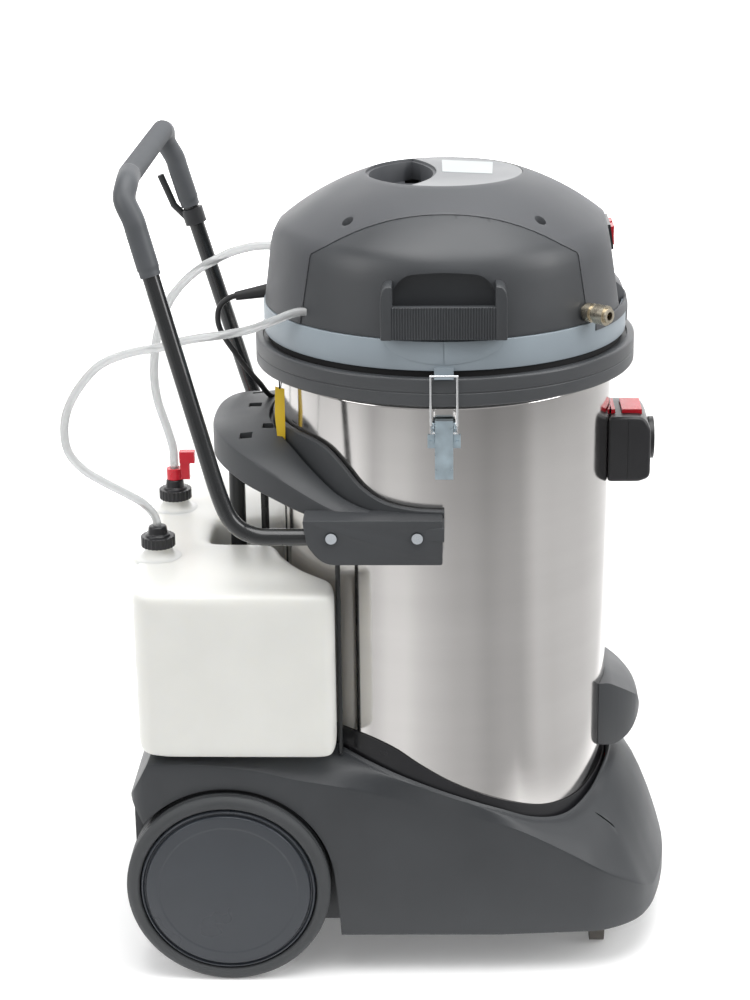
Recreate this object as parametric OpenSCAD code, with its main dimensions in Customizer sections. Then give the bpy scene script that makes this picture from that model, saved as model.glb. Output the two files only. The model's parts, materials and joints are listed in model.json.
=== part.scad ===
// Wet extraction carpet cleaner: a steel recovery drum in a moulded trolley,
// with a motor head on top, a saddle tank behind and a tubular push handle.
// +X is the front, +Y the left side, +Z up, the floor at Z = 0, in millimetres.

/* [Overall] */
// Length from the rear wheels to the nose
overall_length = 674; // [640:1:720]
// Height of the push handle's crossbar
handle_height = 991; // [930:1:1080]

/* [Drum] */
// Outer radius of the steel drum
drum_r = 203; // [190:0.5:208]
// Thickness of the drum's sheet
drum_wall = 1.2; // [0.8:0.1:2]
// Height of the drum's underside above the floor
drum_bottom = 75; // [72:1:90]
// Height of the drum's top edge
drum_top = 760; // [748:1:765]
// Distance of the drum's axis in front of the middle of the machine
drum_x = 53; // [45:1:60]

/* [Collar and seal] */
// Width of the collar outside the drum
collar_overhang = 27; // [22:0.5:32]
// Height of the collar's lower edge
collar_bottom = 740; // [730:1:744]
// Height of the collar's upper edge
collar_top = 773; // [770:1:780]

/* [Head] */
// Distance of the head's lower edge inside the collar's
head_step = 12.5; // [10:0.5:16]
// Height of the band under the head
band_h = 35; // [28:1:40]
// Height of the flat top of the head
head_top = 965; // [950:1:985]
// Radius of the flat top of the head
crown_r = 95; // [88:0.5:100]
// Radius of the dome's curve
dome_r = 309; // [290:1:330]
// Wall thickness of the head's mouldings
head_wall = 4; // [3:0.5:5]
// Half length of the carrying grips
grip_half = 71; // [60:1:80]
// Distance of the carrying grips' outer faces outside the head's lower edge
grip_out = 13.5; // [11:0.5:16]

/* [Trolley] */
// Half width of the trolley
base_half_w = 216; // [212:1:220]
// Height of the trolley's lower edge
base_bottom = 56; // [52:1:62]
// Height of the rear deck that carries the tank
deck_z = 298; // [290:1:304]
// Wall thickness of the trolley moulding
base_wall = 4; // [3:0.5:5]
// Gap between the drum and its cup in the trolley
cup_gap = 3; // [2:0.5:4]

/* [Wheels and castors] */
// Radius of the rear wheels
wheel_r = 125; // [118:1:128]
// Width of the rear wheels
wheel_w = 48; // [40:1:50]
// Distance of the wheels' outer faces from the middle plane
wheel_y = 230; // [226:1:234]
// Radius of the axle
axle_r = 8; // [6:0.5:10]
// Radius of the castor wheels
castor_r = 25; // [22:1:26]
// Distance of the castors in front of the drum's axis
castor_x = 192; // [180:1:195]
// Distance of the castors from the middle plane
castor_y = 136; // [130:1:140]
// Trail of a castor wheel behind its swivel
castor_trail = 18; // [14:1:20]

/* [Tank] */
// Height of the solution tank's lobes
tank_h = 212; // [190:1:220]
// Wall thickness of the tank
tank_wall = 4; // [3:0.5:5]
// Distance of the filler necks from the middle plane
neck_y = 90; // [85:1:95]
// Outer radius of a filler neck
neck_r = 17; // [15:0.5:18]

/* [Rack and handle] */
// Height of the top of the rack's wall behind the drum
rack_top = 675; // [668:1:685]
// Height of the top of the rack's side arms
arm_top = 612; // [605:1:620]
// Distance of the arms' outer faces from the middle plane
arm_y = 235; // [232:1:238]
// Radius of the handle's tube
tube_r = 10; // [9:0.5:11]
// Half length of the straight crossbar grip
crossbar_half = 151; // [140:1:160]

/* [Hose inlet] */
// Radius of the suction hose's bore
inlet_r = 19; // [17:0.5:20]
// Height of the inlet's axis
inlet_z = 633; // [625:1:640]
// Half width of the inlet box
inlet_half_w = 45; // [40:1:50]

/* [Latches] */
// Radius of the latch wire
wire_r = 1.25; // [1:0.05:1.5]
// Half distance between the latch wire's sides
wire_half = 15; // [14:0.5:17]
// Height of the latch lever's pin
latch_pin_z = 714; // [710:1:718]

/* [Cords] */
// Radius of the mains cable
cable_r = 3.5; // [3:0.1:4]
// Radius of the solution hose
hose_r = 5; // [4:0.1:5]
// Radius of the air return hose
air_hose_r = 5.5; // [4.5:0.1:5.5]

/* [Hidden] */
$fn = 96;
eps = 0.01;
slip = 0.05; // radial clearance of a running fit
seam = 0.4; // gap along a moulded seam

// Radii of the collar and the head
collar_r = drum_r + collar_overhang;
head_r = collar_r - head_step;
grip_y = head_r + grip_out;
port_r = head_r - 21.5;
// Levels of the head
seat_z = collar_top - 3;
seal_top = collar_top + 6;
band_top = seal_top + band_h;
band_r = head_r + 1.5;
dome_z = head_top - sqrt(dome_r * dome_r - crown_r * crown_r);
shoulder_r = head_r - 17.5;
shoulder_z = dome_z + sqrt(dome_r * dome_r - shoulder_r * shoulder_r);
motor_z = seal_top + 7;
well_depth = 26;
inlay_t = 3;
// Wheels
wheel_x = -overall_length / 2 + wheel_r;
nose_x = overall_length / 2 - drum_x;
rim_r = wheel_r - 17;
well_r = wheel_r + 8;
well_y = wheel_y - wheel_w - 10;
rear_x = wheel_x - drum_x - wheel_r + 7;
// Arched panels in the head's sides
arch_foot = head_r - 51.5;
arch_half = arch_foot - 13;
// Latches, in distance from the middle plane
latch_pin_y = drum_r + 9;
wire_pin_y = latch_pin_y + 3;
wire_pin_z = latch_pin_z - 9;
wire_y = collar_r + wire_r + 1.35;
wire_top_z = collar_top + 4;
lug_z = collar_top + 0.4;
// Inlet
inlet_face = drum_r + 48;
inlet_lift = 38;
button_half = 24.6;
// Front facet of the head, which carries the switches
facet_tilt = 8.6;
facet_x = head_r - 20;
facet_z = 875;
// Coupling for the wand's solution hose
coupler_turn = -41;
coupler_z = 828;
// Tank
tank_top = deck_z + tank_h;
neck_x = -350;
neck_top = tank_top + 22;

// Routes of the cords, from where each leaves the machine
solution_route = [[-158, -142, 829], [-168, -142, 829], [-180, -144, 826], [-195, -146, 820], [-224, -148, 810],
    [-253, -148, 804], [-282, -147, 800], [-305, -144, 795], [-330, -141, 787], [-365, -137, 780],
    [-401, -132, 765], [-426, -127, 740], [-444, -122, 711], [-452, -117, 682], [-450, -112, 651],
    [-434, -107, 627], [-412, -102, 610], [-388, -98, 595], [-367, -93, 580], [-354, -90, 564],
    [-350, -90, 550], [-350, -90, 540]];
air_route = [[-196, 60, 862], [-204, 60, 862], [-222, 60, 863], [-241, 60, 861], [-265, 62, 854], [-285, 64, 844],
    [-304, 67, 833], [-323, 70, 817], [-341, 74, 796], [-354, 78, 771], [-363, 81, 744],
    [-368, 83, 716], [-370, 85, 686], [-367, 87, 655], [-358, 89, 622], [-351, 90, 594],
    [-350, 90, 574], [-350, 90, 540]];
cable_route = [[-256, 22, 809], [-266, 22, 805], [-275, 22, 797], [-279, 22, 785], [-278, 22, 771],
    [-271, 22, 755], [-260, 22, 738], [-249, 23, 721], [-239, 25, 707], [-230, 31, 694],
    [-224, 42, 681], [-219, 58, 671], [-211, 80, 664], [-196, 108, 662], [-175, 139, 661],
    [-150, 170, 655], [-128, 197, 643], [-115, 218, 632], [-108, 234, 624], [-104, 245, 609],
    [-103, 250, 588], [-103, 251, 550], [-104, 251, 500], [-105, 251, 400], [-106, 251, 300], [-106, 251, 200],
    [-106, 251, 100], [-105, 251, 45], [-101, 251, 24], [-90, 252, 10], [-74, 254, 4],
    [-50, 255, 3.5], [-20, 255, 3.5]];
tail_route = [[-32, 402, 26], [-50, 396, 29], [-66, 386, 35], [-78, 374, 42], [-86, 362, 47],
    [-88, 350, 48]];
coil_x = -20;
coil_y = 335;
coil_mid_r = 67;
coil_half = 15;
plug_r = 18;

// Tube along a route: a ring of points at each of the route's points
function unit(v) = v / norm(v);
function heading(p, i) = unit(p[min(i + 1, len(p) - 1)] - p[max(i - 1, 0)]);
function across(v, t) = unit(v - (v * t) * t);
function sides(p, i, v) = i == len(p) ? [] :
    let(w = across(v, heading(p, i))) concat([w], sides(p, i + 1, w));
function ring(c, t, v, r, n) = let(w = cross(t, v))
    [for (k = [0:n - 1]) c + r * (cos(360 * k / n) * v + sin(360 * k / n) * w)];
function rings(p, r, n) = let(s = sides(p, 0, [0.31, 0.17, 0.93]))
    [for (i = [0:len(p) - 1]) each ring(p[i], heading(p, i), s[i], r, n)];
module tube(p, r, n = 12) {
    last = (len(p) - 1) * n;
    polyhedron(points = rings(p, r, n), faces = concat(
        [[for (k = [0:n - 1]) k]], [[for (k = [n - 1:-1:0]) last + k]],
        [for (i = [0:len(p) - 2]) for (k = [0:n - 1])
            [i * n + k, (i + 1) * n + k, (i + 1) * n + (k + 1) % n, i * n + (k + 1) % n]]));
}
function arc(x, y, r, from, to, n = 12) =
    [for (i = [0:n]) [x + r * cos(from + (to - from) * i / n), y + r * sin(from + (to - from) * i / n)]];
// Places what is given in distance from the drum's axis
module at_drum() translate([drum_x, 0, 0]) children();
// The piece and its mirror image on the far side
module both() {
    children();
    mirror([0, 1, 0]) children();
}
module disc(r, low, high) translate([0, 0, low]) cylinder(r = r, h = high - low);
module hollow_disc(r, bore, low, high) difference() {
    disc(r, low, high);
    disc(bore, low - 1, high + 1);
}
module block(from, to) translate(from) cube(to - from);
// A disc that lies across the machine, from one distance from the middle plane to another
module across_disc(r, x, z, low, high) translate([x, -low, z]) rotate([90, 0, 0])
    cylinder(r = r, h = high - low);

// ---- Trolley ----
function base_half_plan() = concat(
    [[rear_x, 0]], arc(rear_x + 45, base_half_w - 45, 45, 180, 90, 8),
    [[-130, base_half_w], [190, base_half_w - 16]],
    arc(190, base_half_w - 96, 80, 86, 30, 8), [[nose_x - 11, 88], [nose_x - 3, 45], [nose_x, 0]]);
module base_plan() {
    polygon(base_half_plan());
    mirror([0, 1]) polygon(base_half_plan());
}
module base_side() polygon([[rear_x, base_bottom], [rear_x, 232], [rear_x + 30, deck_z],
    [-130, deck_z], [-127, 318], [-122, 330], [-54, 296], [6, 262], [67, 229], [117, 206],
    [156, 198], [190, 195], [215, 188], [245, 163], [268, 132], [nose_x - 3, 105],
    [nose_x, 85], [nose_x - 2, 66], [nose_x - 8, base_bottom]]);
module base_solid(inset) intersection() {
    translate([0, 0, base_bottom - 1]) linear_extrude(300) offset(delta = -inset) base_plan();
    rotate([90, 0, 0]) linear_extrude(2 * base_half_w + 20, center = true)
        offset(delta = -inset) base_side();
}
module hump(inset) rotate([90, 0, 0]) linear_extrude(110 - 2 * inset, center = true)
    offset(delta = -inset) polygon([[190, 150], [206, 231], [220, 226], [232, 212], [243, 196],
        [256, 172], [266, 148], [262, 140]]);
module base() color("#3c4043") at_drum() {
    cup_r = drum_r + cup_gap;
    difference() {
        union() {
            difference() {
                base_solid(0);
                translate([0, 0, -2 * base_wall]) base_solid(base_wall);
                base_solid(base_wall);
            }
            intersection() {
                base_solid(0);
                union() {
                    hollow_disc(cup_r + base_wall, cup_r, drum_bottom - 6, 400);
                    disc(cup_r + base_wall, drum_bottom - 6, drum_bottom);
                    both() across_disc(well_r + base_wall, wheel_x - drum_x, wheel_r, well_y - base_wall, 300);
                    both() translate([castor_x, -castor_y, 0]) disc(14, base_bottom + 10, 260);
                    both() translate([wheel_x - drum_x, 0, 0])
                        block([-16, -well_y, base_bottom + 40], [16, -well_y + 10, deck_z]);
                }
            }
            difference() {
                hump(0);
                hump(base_wall);
            }
        }
        disc(cup_r, drum_bottom, 500);
        both() across_disc(well_r, wheel_x - drum_x, wheel_r, well_y, 300);
        both() across_disc(axle_r, wheel_x - drum_x, wheel_r, well_y - 20, 300);
        both() translate([castor_x, -castor_y, 0]) disc(5 + slip, 0, base_bottom + 40);
        block([drum_r - 5, -16, 182], [238, 16, 300]);
    }
}
module wheel_axle() color("silver") across_disc(axle_r, wheel_x, wheel_r, -wheel_y + 8, wheel_y - 8);

// ---- Rear wheels ----
module wheel_at() translate([wheel_x, -wheel_y, wheel_r]) rotate([-90, 0, 0]) children();
module tyre() color("#2f3234") wheel_at() rotate_extrude() translate([0, 2])
    polygon([[rim_r, 0], [wheel_r - 6, 0], [wheel_r - 2, 3], [wheel_r, 8], [wheel_r, wheel_w - 8],
        [wheel_r - 2, wheel_w - 3], [wheel_r - 6, wheel_w - 2], [rim_r, wheel_w - 2]]);
module hub() color("#3a4048") wheel_at() rotate_extrude()
    polygon([[0, 0], [rim_r - 8, 0], [rim_r - 4, 3], [rim_r, 2], [rim_r, wheel_w - 6],
        [rim_r - 5, wheel_w - 6], [rim_r - 5, 12], [22, 8], [22, wheel_w], [axle_r + slip, wheel_w], [axle_r + slip, 6], [0, 6]]);
module tyre_near() tyre();
module tyre_far() mirror([0, 1, 0]) tyre();
module hub_near() hub();
module hub_far() mirror([0, 1, 0]) hub();

// ---- Castors ----
module castor_at() at_drum() translate([castor_x, -castor_y, 0]) children();
module castor_fork() color("#b9b6ae") castor_at() {
    disc(5, base_bottom, base_bottom + 34);
    disc(16, base_bottom + 4, base_bottom + 9);
    translate([0, castor_trail / 2, 0])
        block([-14, -16, base_bottom], [14, castor_trail / 2 + 8, base_bottom + 4 + eps]);
    for (side = [-1, 1]) translate([side * 12.5, castor_trail, 0]) {
        block([-1.5, -9, castor_r], [1.5, 9, base_bottom + eps]);
        rotate([0, 90, 0]) translate([-castor_r, 0, -1.5]) cylinder(r = 9, h = 3);
    }
    translate([-14, castor_trail, castor_r]) rotate([0, 90, 0]) cylinder(r = 3, h = 28);
}
module castor_wheel() color("#55524c") castor_at() translate([-9, castor_trail, castor_r])
    rotate([0, 90, 0]) difference() {
        cylinder(r = castor_r, h = 18);
        translate([0, 0, -1]) cylinder(r = 3 + slip, h = 20);
    }
module castor_fork_near() castor_fork();
module castor_fork_far() mirror([0, 1, 0]) castor_fork();
module castor_wheel_near() castor_wheel();
module castor_wheel_far() mirror([0, 1, 0]) castor_wheel();

// ---- Drum and collar ----
module inlet_hole(r) translate([0, 0, inlet_z]) rotate([0, 90, 0]) cylinder(r = r, h = 400);
module drum() color("silver") at_drum() difference() {
    disc(drum_r, drum_bottom, drum_top);
    disc(drum_r - drum_wall, drum_bottom + drum_wall, drum_top + 1);
    inlet_hole(inlet_r + 4);
}
module drum_collar() color("#45484b") at_drum() rotate_extrude()
    polygon([[drum_r + eps, collar_bottom], [collar_r - 2, collar_bottom], [collar_r, collar_bottom + 3],
        [collar_r, collar_top - 2], [collar_r - 2, collar_top], [head_r + 3, collar_top],
        [head_r + 3, seat_z], [drum_r - 7, seat_z], [drum_r - 7, drum_top], [drum_r + eps, drum_top]]);

// ---- Hose inlet ----
module inlet_box() color("#2b2b2d") at_drum() difference() {
    translate([0, 0, inlet_z]) rotate([90, 0, 0]) linear_extrude(2 * inlet_half_w, center = true)
        polygon(concat([[drum_r - 53, -44]], arc(inlet_face - 12, -32, 12, -90, 0, 6),
            arc(inlet_face - 14, inlet_lift - 14, 14, 0, 90, 6), [[drum_r - 53, inlet_lift]]));
    disc(drum_r, 0, 900);
    inlet_hole(inlet_r + 4);
    block([inlet_face - 35, -button_half - seam, inlet_z + inlet_lift - 6],
        [inlet_face - 10, button_half + seam, 800]);
    block([drum_r - 20, -button_half - seam, inlet_z + inlet_lift - 6],
        [drum_r + 5.5, button_half + seam, 800]);
}
module inlet_nozzle() color("#333537") at_drum() difference() {
    union() {
        translate([drum_r - 8, 0, inlet_z]) rotate([0, 90, 0])
            cylinder(r = inlet_r + 4, h = inlet_face - drum_r + 8);
        translate([inlet_face, 0, inlet_z]) rotate([0, 90, 0]) cylinder(r = inlet_r + 7, h = 6);
    }
    inlet_hole(inlet_r);
}
module inlet_button_front() color("crimson") at_drum() translate([0, 0, inlet_z + inlet_lift])
    block([inlet_face - 35 + seam, -button_half, -2.4], [inlet_face - 10 - seam, button_half, 5]);
module inlet_button_rear() color("crimson") at_drum() translate([0, 0, inlet_z + inlet_lift])
    block([drum_r + 0.5, -button_half, -2.4], [drum_r + 5.5 - seam, button_half, 5]);

// ---- Drum grip and catch ----
module grip_profile(inset) translate([drum_r, 0]) polygon([[-33, 245], [33 - inset, 245],
    [44 - inset, 258], [47 - inset, 274], [43 - inset, 292], [31 - inset, 310 - inset],
    [11, 325 - inset], [1, 329 - inset], [-33, 329 - inset]]);
module drum_grip() color("#3c3e41") at_drum() difference() {
    rotate([90, 0, 0]) linear_extrude(130, center = true) grip_profile(0);
    translate([0, 0, -6]) rotate([90, 0, 0]) linear_extrude(118, center = true) grip_profile(5);
    disc(drum_r, 0, 900);
}
module catch_rods() color("#202224") at_drum() {
    for (x = [2.6, 12.6]) translate([drum_r + x, 0, 0]) disc(2, 204, 262);
    block([drum_r + 1, -30, 262], [drum_r + 36, 30, 266]);
}
module catch_hook() color("crimson") at_drum() block([drum_r + 0.5, -10, 188], [drum_r + 15, 10, 204]);

// ---- Latches ----
module latch_bracket() difference() {
    union() {
        block([-19, -drum_r - 2, 684], [19, -drum_r + 4, 700]);
        for (side = [-1, 1]) translate([side * 12.2, 0, 0]) {
            block([-1, -drum_r - 6, 690], [1, -drum_r + 4, latch_pin_z + 2]);
            translate([-1, -latch_pin_y, latch_pin_z]) rotate([0, 90, 0]) cylinder(r = 5, h = 2);
        }
        translate([-13, -latch_pin_y, latch_pin_z]) rotate([0, 90, 0]) cylinder(r = 1.5, h = 26);
        for (side = [-1, 1]) translate([side * 15.5, -drum_r - 2, 691]) rotate([90, 0, 0])
            cylinder(r = 2.2, h = 1);
    }
    disc(drum_r, 0, 900, $fn = 360);
}
module latch_brackets() color("#c9d1d4") at_drum() both() latch_bracket();
module latch_lever() color("#c9d1d4") at_drum() difference() {
    block([-10.5, -drum_r - 14, 650], [10.5, -drum_r - 5, latch_pin_z + 6]);
    block([-8, -drum_r - 12, 640], [8, -drum_r - 4, wire_pin_z - 6]);
    translate([-20, -latch_pin_y, latch_pin_z]) rotate([0, 90, 0]) cylinder(r = 1.5 + slip, h = 40);
    translate([-20, -wire_pin_y, wire_pin_z]) rotate([0, 90, 0]) cylinder(r = wire_r + slip, h = 40);
}
module wire(from, to) tube([from, to], wire_r, 12);
module latch_bail() color("#d8dcde") at_drum() {
    reach = wire_half + wire_r;
    for (z_y = [[wire_pin_z, wire_pin_y], [wire_top_z, wire_y]])
        translate([-reach, -z_y[1], z_y[0]]) rotate([0, 90, 0]) cylinder(r = wire_r, h = 2 * reach);
    for (side = [-1, 1]) translate([side * wire_half, 0, 0]) {
        translate([0, -wire_y, wire_pin_z + 15])
            cylinder(r = wire_r, h = wire_top_z - wire_pin_z - 15);
        wire([0, -wire_pin_y, wire_pin_z], [0, -wire_y, wire_pin_z + 15]);
        translate([0, -wire_y, wire_pin_z + 15]) sphere(r = wire_r, $fn = 24);
    }
}
module latch_lever_near() latch_lever();
module latch_lever_far() mirror([0, 1, 0]) latch_lever();
module latch_bail_near() latch_bail();
module latch_bail_far() mirror([0, 1, 0]) latch_bail();

// ---- Head ----
function dome_profile(inset) = concat(
    [for (i = [0:12]) let(from = asin(crown_r / dome_r), to = asin(shoulder_r / dome_r),
        a = from + (to - from) * i / 12)
        [(dome_r - inset) * sin(a), dome_z + (dome_r - inset) * cos(a)]],
    [[shoulder_r + 6 - inset, shoulder_z - 9 - inset * 0.6], [head_r - 8 - inset, shoulder_z - 33],
        [head_r - inset, band_top]]);
module dome(inset) rotate_extrude() polygon(concat([[0, band_top], [0, dome_profile(inset)[0][1]]],
    dome_profile(inset)));
module arch(gap) rotate([90, 0, 0]) linear_extrude(200) offset(delta = -gap)
    polygon(concat([[arch_foot, band_top - 10], [arch_foot, band_top], [arch_half, 895]],
        [for (i = [1:11]) let(x = arch_half * (1 - i / 6))
            [x, 943 - 48 * pow(abs(x) / arch_half, 2.2)]],
        [[-arch_half, 895], [-arch_foot, band_top], [-arch_foot, band_top - 10]]));
module side_window(gap) translate([0, -60, 0]) arch(gap);
module facet(low, high) translate([facet_x, 0, facet_z]) rotate([0, -facet_tilt, 0])
    block([low, -110, -38], [high, 110, 90]);
module cover_screw_places() both() for (x = [-110, 110]) translate([x, 92.5 - head_r, 0]) children();
// The rear part of the flat top, up to a curved front edge
module well_area(r, gap, low, high) intersection() {
    disc(r, low, high);
    translate([-148, 0, 0]) disc(135 + gap, low, high);
}
module head_cover() color("#46494d") at_drum() difference() {
    union() {
        difference() {
            dome(0);
            translate([0, 0, -eps]) dome(head_wall);
        }
        intersection() {
            dome(0);
            facet(-head_wall, 10);
        }
        intersection() {
            dome(0);
            union() {
                disc(crown_r + 2, head_top - inlay_t - head_wall, head_top);
                well_area(crown_r, head_wall, head_top - well_depth - head_wall, head_top);
                cover_screw_places() disc(10, 902, head_top);
            }
        }
    }
    both() side_window(0);
    facet(0, 60);
    disc(crown_r - 2 + seam, head_top - inlay_t, head_top + 10);
    well_area(crown_r - 5, 0, head_top - well_depth, head_top + 10);
    cover_screw_places() {
        disc(6.5, 920, 1000);
        disc(2.5, 890, 1000);
    }
    ports();
}
// The holes for the hoses, the cable's strain relief, the coupling and the rockers
module on_relief() translate([-port_r, 22, 819]) rotate([0, -100, 0]) children();
module ports() {
    translate([16 - port_r, 60, 862]) rotate([0, -90, 0]) cylinder(r = air_hose_r, h = 60);
    translate([56 - port_r, -142, 829]) rotate([0, -90, 0]) cylinder(r = hose_r, h = 60);
    rotate([0, 0, coupler_turn]) translate([port_r - 16, 0, coupler_z]) rotate([0, 90, 0])
        cylinder(r = 8, h = 60);
    on_relief() cylinder(r = 9, h = 40);
    for (y = [-15, 15]) translate([facet_x, 0, facet_z]) rotate([0, -facet_tilt, 0])
        block([-6, y - 11.4, 4.1], [1, y + 11.4, 27.9]);
}
module side_panel() difference() {
    union() {
        intersection() {
            difference() {
                dome(0);
                translate([0, 0, -eps]) dome(head_wall);
            }
            side_window(seam);
        }
        difference() {
            block([-grip_half, -grip_y, band_top + 3], [grip_half, 37.5 - head_r, band_top + 63]);
            translate([0, 0, -60]) dome(head_wall);
            dome(head_wall);
        }
        intersection() {
            dome(0);
            block([-grip_half + 9, -grip_y, band_top + 3], [grip_half - 9, 27.5 - head_r, band_top + 84]);
        }
    }
    ports();
    block([-grip_half + 13, -grip_y - 1, band_top + 42], [grip_half - 13, 23.5 - head_r, band_top + 80]);
    block([-grip_half + 13, -grip_y + 9, band_top + 8], [grip_half - 13, 23.5 - head_r, band_top + 80]);
}
module side_panel_near() color("#3b3e40") at_drum() side_panel();
module side_panel_far() color("#3b3e40") at_drum() mirror([0, 1, 0]) side_panel();
module top_panel() color("#6a6c70") at_drum() difference() {
    disc(crown_r - 2, head_top - inlay_t, head_top);
    well_area(crown_r + 10, 0, head_top - 10, head_top + 10);
}
module cover_screws() color("#2a2a2a") at_drum() cover_screw_places() {
    disc(4.5, 920, 923);
    disc(2.5, 902, 920);
}
module head_band() color("#8b97a0") at_drum() {
    difference() {
        hollow_disc(band_r, band_r - head_wall, seal_top, band_top);
        on_relief() cylinder(r = 9.4, h = 40);
    }
    difference() {
        disc(band_r - head_wall, seal_top, motor_z);
        disc(22, 0, 1000);
    }
    both() block([-11, -wire_y - 2, lug_z], [11, -head_r - 3.5, lug_z + 2.3]);
    both() block([-11, -head_r - 4.5, lug_z], [11, -head_r + 2, seal_top + 4]);
}
module head_seal() color("#1c1c1c") at_drum() hollow_disc(head_r - 3, head_r - 14, seat_z, seal_top);
module on_facet() at_drum() translate([facet_x, 0, facet_z]) rotate([0, -facet_tilt, 0]) children();
module switch_frame() color("#26282a") on_facet() difference() {
    block([0, -32, 1], [4, 32, 31]);
    for (y = [-15, 15]) translate([0, y, 16]) block([-1, -11.4, -11.9], [5, 11.4, 11.9]);
}
module rocker() rotate([90, 0, 0]) {
    linear_extrude(22, center = true)
        polygon([[1, -11], [5.5, -11], [6.5, 0], [8.5, 11], [1, 11], [0.6, 0]]);
    translate([1, 0, 0]) cylinder(r = 2.5, h = 22, center = true);
}
module rocker_suction() color("crimson") on_facet() translate([0, -15, 16]) rocker();
module rocker_pump() color("crimson") on_facet() translate([0, 15, 16]) rocker();
module on_coupler() at_drum() rotate([0, 0, coupler_turn]) translate([0, 0, coupler_z])
    rotate([0, 90, 0]) children();
module coupler_body() color("#b59a62") on_coupler() difference() {
    union() {
        disc(8, port_r, port_r + 22);
        disc(11, port_r + 22, port_r + 30);
        disc(8.5, port_r + 30, port_r + 54);
    }
    disc(5, port_r + 32, port_r + 64);
}
module coupler_sleeve() color("#cfc5ae") on_coupler() hollow_disc(11.5, 8.5 + slip, port_r + 36, port_r + 50);
module strain_relief() color("#1d1e20") at_drum() on_relief() {
    cylinder(r = 9, h = 20);
    translate([0, 0, 20]) cylinder(r1 = 8.5, r2 = 5.5, h = 41);
}

// ---- Inside the head ----
module suction_motor() color("#8f9294") at_drum() difference() {
    union() {
        disc(72, motor_z, motor_z + 52);
        disc(52, motor_z + 52, motor_z + 118);
    }
    disc(66, motor_z + 4, motor_z + 40);
    disc(22, motor_z - 1, motor_z + 5);
    disc(6 + slip, motor_z + 30, motor_z + 112);
}
module fan_rotor() color("#c8cacc") at_drum() {
    disc(60, motor_z + 10, motor_z + 30);
    disc(6, motor_z + 30, motor_z + 108);
}
module solution_pump() color("#5b5f63") at_drum() translate([-118, 45, 0]) {
    block([-34, -22, motor_z], [34, 22, motor_z + 34]);
    disc(19, motor_z + 34, motor_z + 74);
}
module float_cage() color("#dcdcd8") at_drum() difference() {
    union() {
        disc(30, 700, seal_top - 3);
        disc(44, seal_top - 3, seal_top);
    }
    disc(26, 704, seal_top + 1);
    for (a = [0, 45, 90, 135]) rotate([0, 0, a]) block([-40, -5, 712], [40, 5, seal_top - 14]);
}
module float_ball() color("#e8e4d8") at_drum() translate([0, 0, 724]) sphere(r = 19.5);

// ---- Tank ----
function tank_half_plan() = concat(
    [[-378, 0], [-376, 50], [-371, 100]], arc(-322, 185, 40, 160, 90, 6),
    arc(-161, 195, 30, 90, 0, 6), [[-131, 100], [-250, 40], [-295, 30], [-295, 0]]);
module tank_plan() {
    polygon(tank_half_plan());
    mirror([0, 1]) polygon(tank_half_plan());
}
module tank_lobes(inset) difference() {
    translate([0, 0, deck_z + inset]) linear_extrude(tank_h - 2 * inset)
        offset(delta = -inset) tank_plan();
    disc(drum_r + 12 + inset, 0, 900);
}
module solution_tank() color("#ecece6") at_drum() difference() {
    union() {
        tank_lobes(0);
        both() translate([neck_x, -neck_y, tank_top - eps])
            cylinder(r1 = neck_r + 4, r2 = neck_r, h = 8);
        both() translate([neck_x, -neck_y, 0]) disc(neck_r, tank_top, neck_top);
    }
    tank_lobes(tank_wall);
    both() translate([neck_x, -neck_y, 0]) disc(neck_r - 4, tank_top - 20, neck_top + 1);
}
module tank_cap(hose) color("#17181a") at_drum() translate([neck_x, -neck_y, 0]) difference() {
    union() {
        disc(21, neck_top - 8, neck_top + 5);
        disc(12, neck_top + 5, neck_top + 18);
    }
    disc(neck_r + slip, neck_top - 9, neck_top);
    disc(hose + slip, neck_top - 1, neck_top + 20);
}
module tank_cap_near() tank_cap(hose_r);
module tank_cap_far() mirror([0, 1, 0]) tank_cap(air_hose_r);
module air_tap() color("crimson") at_drum() translate([neck_x, neck_y, neck_top + 18.3]) {
    hollow_disc(10, air_hose_r + slip, 0, 14);
    block([8, -5, 0], [20, 5, 24]);
    block([7.5, -6, 22], [27, 6, 37]);
}

// ---- Rack ----
module rack_sector(r, bore, low, high, half) intersection() {
    hollow_disc(r, bore, low, high);
    linear_extrude(1000) polygon([[0, 0], for (a = [-1, -0.5, 0, 0.5, 1])
        [-600 * cos(a * half), 600 * sin(a * half)]]);
}
module rack() color("#3e4144") at_drum() difference() {
    union() {
        rack_sector(211, drum_r + 3, arm_top - 20, rack_top, 48);
        rack_sector(285, drum_r + 3, 650, 656, 40);
        rack_sector(285, 280, 625, 668, 40);
        rack_sector(240, drum_r + 3, arm_top - 4, arm_top, 76);
        both() difference() {
            block([-175, -arm_y, 545], [0, -120, arm_top]);
            disc(drum_r + 3, 0, 900);
            block([-171, -arm_y + 4, 540], [-4, -100, arm_top - 4]);
            block([-176, -190, 540], [-100, -100, arm_top + 1]);
        }
        rack_sector(240, 236, arm_top - 4, 656, 44);
        both() block([-175, -arm_y + 4, 565], [-25, -arm_y + 24, 600]);
        block([-276, -30, 632], [-216, 30, 650]);
    }
    for (at = [[-232, 0], [-246, -75], [-246, 75]]) translate([at[0], at[1], 0])
        block([-8, -8, 640], [8, 8, 700]);
    both() translate([-200, -222, 582]) rotate([0, 90, 0]) cylinder(r = tube_r, h = 120);
    both() for (x = [-130, -31]) across_disc(3, x, 585, arm_y - 10, arm_y + 10);
    for (x = [-260, -226]) translate([x, 0, 0]) disc(x < -240 ? 10 : 5, 600, 648);
}
module rack_posts() color("#1f2123") at_drum() {
    translate([-260, 0, 0]) disc(10, deck_z, 648);
    translate([-226, 0, 0]) disc(5, deck_z, 648);
}
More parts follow.
